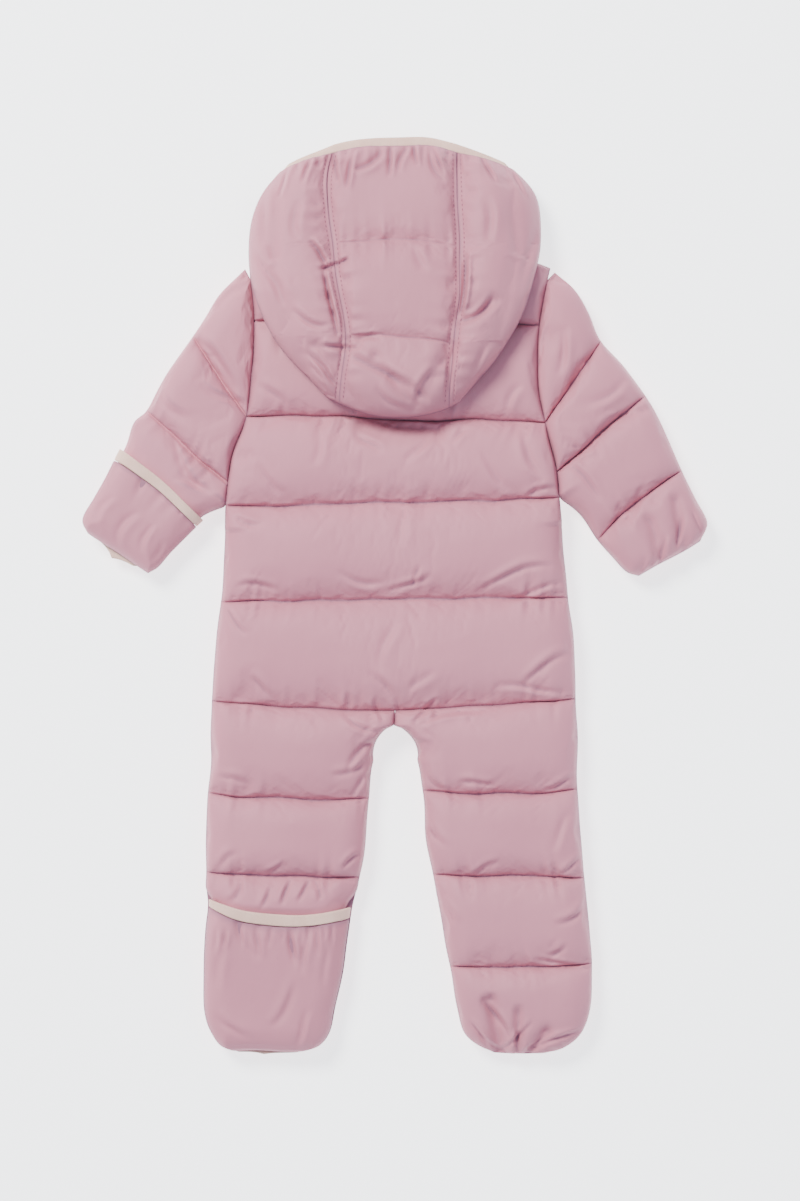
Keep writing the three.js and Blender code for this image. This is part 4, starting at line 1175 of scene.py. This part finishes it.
def cap_grids(panel, flap, start, end, us, shares, gather, seed):
    """Outer and inner points of a cap between two lines across the limb."""
    side = flap["side"]
    is_end = end(0.5) >= panel.last
    outer = np.empty((len(shares), len(us), 3))
    inner = np.empty_like(outer)
    rises = np.empty(outer.shape[:2])
    for j, share in enumerate(shares):
        for i, u in enumerate(us):
            v = mix(start(u), end(u), share)
            x, y, rise, z = flap_surface(panel, side, np.array(u), v, 0)
            width = sum(float(d) for d in panel.plan(np.array(u), v)[2:])
            down = abs(panel.length_at(v) - panel.length_at(start(u)))
            place_across = u * width + 0.12 * down * math.sin(9 * u + seed)
            spacing = width / flap["gathers"] / 1.6
            fine = float(ripple(place_across, seed, spacing))
            broad = float(ripple(place_across, seed + 4, 2.6 * spacing))
            near = math.exp(-((down / (9 + 8 * abs(broad))) ** 2))
            far = math.exp(-((down / 38) ** 2))
            depth = gather * (near * (0.7 + fine) + 0.6 * far * broad) * rise if gather else 0
            rises[j, i] = rise
            outer[j, i] = x, y, z - side * depth
            inset = FLAP_WALL / width * (1 - 2 * u)
            back = v - (END_INSET_ROWS * share ** 6 if is_end else 0)
            drawn_x, drawn_y, _, _ = panel.plan(np.array(u + inset), back)
            _, _, _, low = flap_surface(panel, side, np.array(u), v, FLAP_WALL)
            inner[j, i] = drawn_x, drawn_y, low - side * FLAP_EDGE
    if gather:
        x, y = outer[..., 0], outer[..., 1]
        height = crease_height(FLAP_CREASES, x, y) + 0.8 * unevenness(x, y, seed, 26)
        outer[..., 2] = np.maximum(outer[..., 2] + side * rises * height, 0)
    return outer, inner


def flat_size(grid):
    """Width and length of the cloth that a grid of points is made of."""
    rows = np.linalg.norm(np.diff(grid, axis=1), axis=2).sum(1).mean()
    columns = np.linalg.norm(np.diff(grid, axis=0), axis=2).sum(0).mean()
    return rows * MM, columns * MM


MIN_CUT = 0.0101


def declare_sheet(outer, turned=1.0):
    """Works out the cut of a sheet, its shape laid flat, and does nothing more with it. turned is
    how much of it is folded under.
    """
    width, length = flat_size(outer)
    sides = sorted([width, length * turned] if width > length else [width * turned, length])
    flat = [max(side, MIN_CUT) for side in sides]


FLAP_COLUMNS, FLAP_ROWS, BAND_ROWS = 64, 44, 8


def add_flap(name, panel):
    flap = FLAPS[name]
    start = lambda u: flap_start(flap, u)
    band_end = lambda u: start(u) + flap["band"]
    cloth_start = lambda u: band_end(u) + 0.01
    last = lambda u: panel.last
    us = np.linspace(0.004, 0.996, FLAP_COLUMNS)
    limb, end = name.split("_")
    shares = np.linspace(0, 1, FLAP_ROWS)
    outer, inner = cap_grids(panel, flap, cloth_start, last, us, shares, flap["depth"], 71)
    cloth = wall_mesh(f"cloth_{limb}_flap_{end}", outer, inner)
    shown = 1 if flap["side"] > 0 else 0
    finish_piece(cloth, f"{limb}_flap_{end}", SHADED_FLAP_CLOTH, shown)
    declare_sheet(outer)
    outer, inner = cap_grids(panel, flap, start, band_end, us, np.linspace(0, 1, BAND_ROWS), 0, 73)
    band = wall_mesh(f"band_{limb}_{end}", outer, inner)
    finish_piece(band, f"{limb}_band_{end}", ELASTIC)
    declare_sheet(outer)


for name, flap in FLAPS.items():
    limb, end = name.split("_")
    flap_panel = SLEEVES[end]["plain"] if limb == "hand" else Panel(LEGS[end]["rows"])
    add_flap(name, flap_panel)


# Bindings at the ends of the left cuff and foot


BINDING_HIGH = LAYER - 0.2
BINDING_LOW = BINDING_HIGH - BINDING_WALL
BINDING_CROWN = 0.5


def add_end_binding(node, panel, reach, turned):
    v = panel.last
    us = np.linspace(0, 1, 30)
    x, y, _, _ = panel.plan(us, v)
    x0, y0, _, _ = panel.plan(us, v - 0.3)
    length = np.hypot(x - x0, y - y0)
    shares = np.linspace(0, 1, 6)
    outer, inner = (np.empty((len(shares), len(us), 3)) for _ in range(2))
    for j, share in enumerate(shares):
        out = mix(SEAM_GAP, reach, share)
        px, py = x + (x - x0) / length * out, y + (y - y0) / length * out
        top = BINDING_HIGH + BINDING_CROWN * (math.sin(math.pi * share) - 1)
        outer[j] = np.stack([px, py, np.full_like(px, top)], -1)
        inner[j] = np.stack([px, py, np.full_like(px, BINDING_LOW)], -1)
    piece = wall_mesh(f"trim_{node}", outer, inner)
    finish_piece(piece, node, ELASTIC)
    declare_sheet(outer, turned)


add_end_binding("cuff_binding_left", SLEEVES["left"]["drawn"], 9.7, 1.2)
add_end_binding(
    "foot_binding_left", Panel(LEG_LEFT_ROWS), 3.5, 1.6,
)


# Hood

hood_edges = [
    curve_of(HOOD_ROWS, [f"{name}X", f"{name}Y", "quilt"])
    for name in ("left", "seamLeft", "seamRight", "right")
]
hood_panel = Panel([
    {
        **row, "sag": 0, "ax": row["seamLeftX"], "ay": row["seamLeftY"],
        "bx": row["seamRightX"], "by": row["seamRightY"],
    }
    for row in HOOD_ROWS
])


def hood_plan(part, share, v):
    start, end = hood_edges[part](v), hood_edges[part + 1](v)
    bend = 4 * share * (1 - share) * value_at(HOOD_ROWS, "bow", v) if part == 1 else 0
    x, y = mix(start[0], end[0], share), mix(start[1], end[1], share) + bend
    sides = [np.hypot(x - edge[0], y - edge[1]) for edge in (hood_edges[0](v), hood_edges[3](v))]
    seams = [np.abs(x - edge[0]) for edge in (hood_edges[1](v), hood_edges[2](v))]
    return x, y, np.minimum(*sides), np.minimum(*seams)


STRIP_HALF = 3.6  # half the width of the flat strip that is topstitched along a hood seam
SEAM_LIFT = 3.0


def hood_dome(from_side, v):
    to_rim = hood_panel.length_at(RIM_ROW) - hood_panel.length_at(v)
    return rounded(from_side, HOOD_SIDE_ROLL) * float(rounded(to_rim, HOOD_RIM_ROLL))


def hood_outer(part, share, v):
    x, y, from_side, from_seam = hood_plan(part, share, v)
    edge, crest = value_at(HOOD_ROWS, "edge", v), value_at(HOOD_ROWS, "crest", v)
    _, _, along, _ = hood_panel.channel(v)
    rise = float(channel_rise(along)) if part == 1 else 1.0
    from_strip = np.maximum(from_seam - STRIP_HALF, 0)
    padding = HOOD_PUFF * mix(0.45, 1, rise) * rounded(from_strip, HOOD_SEAM_ROLL)
    padding = padding + SEAM_LIFT * (1 - rounded(from_strip, HOOD_SEAM_ROLL))
    padding = np.maximum(padding - fold_depth(HOOD_FOLDS, x, y), 0)
    height = (crest - edge + padding) * hood_dome(from_side, v)
    return np.stack([x, y, edge + HOOD_LIP + height], -1)


def hood_inner(part, share, v, below=0.0):
    x, y, from_side, _ = hood_plan(part, share, v)
    edge, crest = value_at(HOOD_ROWS, "edge", v), value_at(HOOD_ROWS, "crest", v)
    height = (crest - edge - 1) * hood_dome(from_side, v)
    return np.stack([x, y, edge + height - below], -1)


HOOD_SEED = 83
STRIP_PUCKERS = 1.5
GATHER_DEPTH, GATHER_AT, GATHER_REACH = 3.4, 14, 9
HOOD_CREASE_GAIN = 1.45
HOOD_UNEVEN = 1.4


def hood_puckers(part, v, x, from_strip):
    """Puckers beside the seams and the quilting, and gathers beside the binding."""
    length = hood_panel.length_at(v)
    near_seam = from_strip / PUCKER_REACH * np.exp(1 - from_strip / PUCKER_REACH)
    height = STRIP_PUCKERS * near_seam * ripple(length, HOOD_SEED + part, 6)
    if part == 1:
        height = height + puckers(hood_panel, v, x, HOOD_SEED) * rounded(from_strip, SEAM_ROLL)
    gathered = math.exp(-((length - GATHER_AT) / GATHER_REACH) ** 2)
    return height + GATHER_DEPTH * gathered * ripple(x, HOOD_SEED + 9, 4.5)


surfaces = []
hood_vs = hood_panel.rows_between(BINDING_SHARE + 0.01, RIM_ROW, 2.6)
for part, node in enumerate(("hood_side_left", "hood_centre", "hood_side_right")):
    shares = across(105 if part == 1 else 66, 2.2)
    outer = grid_of(lambda s, v: hood_outer(part, s, v), shares, hood_vs)
    inner = grid_of(lambda s, v: hood_inner(part, s, v), shares, hood_vs)
    pinned = sewn_rows(hood_panel, hood_vs, len(shares))
    if part != 1:
        pinned[1:-1, 1:-1] = 0
    for j, v in enumerate(hood_vs):
        pinned[j, hood_plan(part, shares, v)[3] < STRIP_HALF + 0.4] = 1
    outer = settle(outer, pinned)
    outer, inner = refined(outer), refined(inner)
    shares = halved(shares)
    for j, v in enumerate(halved(hood_vs)):
        x, y, from_side, from_seam = hood_plan(part, shares, v)
        from_strip = np.maximum(from_seam - STRIP_HALF, 0)
        height = HOOD_CREASE_GAIN * crease_height(HOOD_CREASES, x, y)
        height += HOOD_UNEVEN * unevenness(x, y, 7 + part)
        height *= mix(0.5, 1, rounded(from_strip, 7))
        height += hood_puckers(part, v, x, from_strip)
        outer[j, :, 2] += height * hood_dome(from_side, v)
    surfaces.append(outer)
    piece = wall_mesh(f"cloth_{node}", outer, inner)
    finish_piece(piece, node, SHADED_HOOD_CLOTH, 0)


def hood_w(function, ws, v, *rest):
    """A hood surface across all three panels, w from 0 to 1."""
    result = np.empty((len(ws), 3))
    for i, w in enumerate(ws):
        part = min(int(3 * w), 2)
        result[i] = function(part, np.array(3 * w - part), v, *rest)
    return result


binding_ws = np.linspace(0.02, 0.98, 90)
binding_vs = np.linspace(0, BINDING_SHARE, 9)
inner = grid_of(lambda w, v: hood_w(hood_inner, w, v), binding_ws, binding_vs)
outer = inner.copy()
for j, v in enumerate(binding_vs):
    crown = float(rounded(min(v, BINDING_SHARE - v) + BINDING_SHARE / 10, BINDING_SHARE / 2))
    outer[j, :, 2] += BINDING_WALL * mix(0.6, 1, crown) + 0.25 * ripple(inner[j, :, 0], 97, 5)
hood_trim = wall_mesh("trim_hood_binding", outer, inner)
finish_piece(hood_trim, "hood_binding", ELASTIC)
declare_sheet(outer, 1.2)


def shoulder_line(x):
    first = TORSO_ROWS[0]
    share = min(max((x - first["ax"]) / (first["bx"] - first["ax"]), 0), 1)
    return mix(first["ay"], first["by"], share) + 4 * share * (1 - share) * first["sag"]


def row_on_shoulder(w, above):
    """Row number at which the hood crosses a line above the shoulders."""
    low, high = 0.0, float(RIM_ROW)
    for _ in range(24):
        middle = (low + high) / 2
        x, y, _ = hood_w(hood_inner, [w], middle)[0]
        if y > shoulder_line(x) + above:
            low = middle
        else:
            high = middle
    return low


UNDER_TOP_GAP = 1.5


def hidden_layer(node, ws, shares, first_row, last_row, floor_height):
    """A rounded layer below the hood, between two rows of it."""
    top = np.empty((len(shares), len(ws), 3))
    bottom = np.empty_like(top)
    for i, w in enumerate(ws):
        start, end = first_row(w), last_row(w)
        first = hood_w(hood_inner, [w], start)[0]
        for j, share in enumerate(shares):
            v = mix(start, end, share)
            top[j, i] = hood_w(hood_inner, [w], v, UNDER_TOP_GAP)[0]
            bottom[j, i] = top[j, i]
            bottom[j, i, 2] = floor_height(w, v, top[j, i], first)
    piece = wall_mesh(f"cloth_{node}", top, bottom)
    finish_piece(piece, node, SHADED_HOOD_CLOTH, 1)


def under_floor(w, v, point, first):
    part = min(int(3 * w), 2)
    from_side = float(hood_plan(part, 3 * w - part, v)[2])
    roll = float(rounded(min(math.dist(point[:2], first[:2]), from_side) + 2, 16))
    return (point[2] - 4) * (1 - roll)


hidden_layer(
    "hood_under", np.linspace(0.05, 0.95, 50), np.linspace(0, 1, 20),
    lambda w: 0.3, lambda w: row_on_shoulder(w, 2.5), under_floor,
)
hidden_layer(
    "hood_nape", np.linspace(0.12, 0.88, 36), np.linspace(0, 1, 20),
    lambda w: row_on_shoulder(w, -6), lambda w: RIM_ROW - 0.6,
    lambda w, v, point, first: NAPE_FLOOR,
)


# Zip

RIBBON_CROWN = 0.15


def add_ribbon(node, xs, ys, zs, bend=0.0, columns=6, rows=120):
    """A flat strip, bent a little up and down along its length."""
    shares = np.linspace(0, 1, rows)
    across_x = np.linspace(*xs, columns)
    crown = RIBBON_CROWN * np.sin(np.linspace(0, np.pi, columns))
    low, high = (np.empty((rows, columns, 3)) for _ in range(2))
    for j, share in enumerate(shares):
        lift = bend * math.sin(math.pi * share) ** 2
        for grid, z in ((low, zs[0] - crown), (high, np.full(columns, zs[1]))):
            grid[j] = np.stack([across_x, np.full(columns, mix(*ys, share)), z + lift], -1)
    piece = wall_mesh(f"zip_part_{node}", low, high)
    finish_piece(piece, node, ZIP_TAPE, 0)
    return piece, low


CHAIN_ENDS = (-30.0, SLIDER_TOP)
for side, xs in {"left": (-8.6, -2.9), "right": (2.9, 8.6)}.items():
    piece, low = add_ribbon(f"zip_tape_{side}", xs, CHAIN_ENDS, (12.9, 14.1))
    declare_sheet(low)
add_ribbon("zip_chain", (-2.6, 2.6), CHAIN_ENDS, (13.3, 15.1))
piece, low = add_ribbon("zip_pull", (-3.5, 3.5), (214, 250), (7.4, 8.9), 0.4)
declare_sheet(low, 1.2)
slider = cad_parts["zip_slider"]
slider.data.materials.clear()
slider.data.materials.append(ZIP_STEEL)


# Sewing and teeth, many small pointed beads in one mesh

def add_beads(name, ends, thickness, material):
    """Beads from first to second point of each pair, in millimetres."""
    ends = np.array(ends, float)
    first, second = ends[:, 0], ends[:, 1]
    along = second - first
    along /= np.linalg.norm(along, axis=1, keepdims=True)
    side = np.cross(along, [0, 0, 1])
    side /= np.linalg.norm(side, axis=1, keepdims=True)
    up = np.cross(side, along)
    middle = (first + second) / 2
    half = thickness / 2
    ring = [middle + half * way for way in (side, up, -side, -up)]
    points = np.stack([first, second, *ring], axis=1)
    faces = []
    for base in range(0, 6 * len(points), 6):
        for k in range(4):
            a, b = base + 2 + k, base + 2 + (k + 1) % 4
            faces += [(base, b, a), (base + 1, a, b)]
    mesh = bpy.data.meshes.new(name)
    mesh.from_pydata(place(points.reshape(-1, 3)).tolist(), [], faces)
    mesh.validate()
    mesh.materials.append(material)
    piece = link(name, mesh)
    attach(piece, "root")


def height_finder(grids):
    points, faces = [], []
    for grid in grids:
        rows, columns = grid.shape[:2]
        index = np.arange(rows * columns).reshape(rows, columns) + sum(len(p) for p in points)
        points.append(grid.reshape(-1, 3))
        faces += faces_of(index).tolist()
    tree = BVHTree.FromPolygons(np.concatenate(points).tolist(), faces)

    def find(x, y):
        return tree.ray_cast(Vector((x, y, 150)), Vector((0, 0, -1)))[0]

    return find


STITCH = 2.6
STITCH_GAP = 1.3


def stitches(find, line):
    """Pairs of points on the cloth for each stitch along a line of points."""
    line = np.array(line, float)
    steps = np.linalg.norm(np.diff(line, axis=0), axis=1)
    lengths = np.concatenate([[0], np.cumsum(steps)])
    result = []
    for start in np.arange(0, lengths[-1] - STITCH, STITCH + STITCH_GAP):
        ends = [
            find(*(float(np.interp(start + extra, lengths, line[:, axis])) for axis in (0, 1)))
            for extra in (0, STITCH)
        ]
        if None not in ends:
            result.append(rumpled([[end.x, end.y, end.z + 0.25] for end in ends]))
    return result


find = height_finder(surfaces)
sewing = []
for seam in (1, 2):
    for offset in (-STRIP_HALF, STRIP_HALF):
        edge = [hood_edges[seam](v) for v in np.linspace(BINDING_SHARE + 0.05, RIM_ROW - 0.03, 90)]
        sewing += stitches(find, [[point[0] + offset, point[1]] for point in edge])
add_beads("sewing_hood", sewing, 1.0, THREAD)

teeth = [
    [[side * 0.2, y, 13.1], [side * 2.4, y, 13.1]]
    for side in (-1, 1) for y in np.arange(CHAIN_ENDS[0] + 1, 241, 1.5)
]
add_beads("zip_teeth", teeth, 1.1, TEETH)


# Floor, light and camera

FLOOR_GLOW = 2.2


def add_floor():
    bpy.ops.mesh.primitive_plane_add(size=10)
    floor = bpy.context.object
    floor.name = "floor"
    material, tree, shader, coordinates = base_material("floor", 0.9)
    colour_variation(tree, shader, coordinates, (0.96, 0.96, 0.96), (0.95, 0.95, 0.95), 2)
    shader.inputs["Emission Color"].default_value = (1, 1, 1, 1)
    shader.inputs["Emission Strength"].default_value = FLOOR_GLOW
    floor.data.materials.append(material)
    floor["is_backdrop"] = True


def add_area(name, place_at, size, power, colour):
    light = bpy.data.lights.new(name, "AREA")
    light.color = colour
    light.shape = "DISK"
    light.size = size
    light.energy = power
    lamp = link(name, light)
    lamp.location = place_at
    lamp.rotation_euler = (-Vector(place_at)).to_track_quat("-Z", "Y").to_euler()


PHOTO_HEIGHT = 1.02085  # metres that the photograph's height covers
LENS = 100
SENSOR = 36
CAMERA_X, CAMERA_Y = 4.55, -4.42


def add_camera():
    camera = bpy.data.cameras.new("camera")
    camera.lens = LENS
    camera.sensor_width = SENSOR
    piece = link("camera", camera)
    x, y, _ = place([CAMERA_X, CAMERA_Y, 0])
    piece.location = (x, y, PHOTO_HEIGHT * LENS / SENSOR + LAYER * MM)
    bpy.context.scene.camera = piece


add_floor()
add_area("key", (-1.5, 1.8, 2.9), 1.3, 218, (1, 1, 0.97))
add_area("fill", (1.2, -0.8, 1.8), 2.0, 10, (0.9, 0.93, 1))
world = bpy.data.worlds.new("studio")
world.use_nodes = True
sky = world.node_tree.nodes["Background"]
sky.inputs["Color"].default_value = (0.76, 0.88, 1.1, 1)
sky.inputs["Strength"].default_value = 0.74
bpy.context.scene.world = world
add_camera()

low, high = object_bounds()
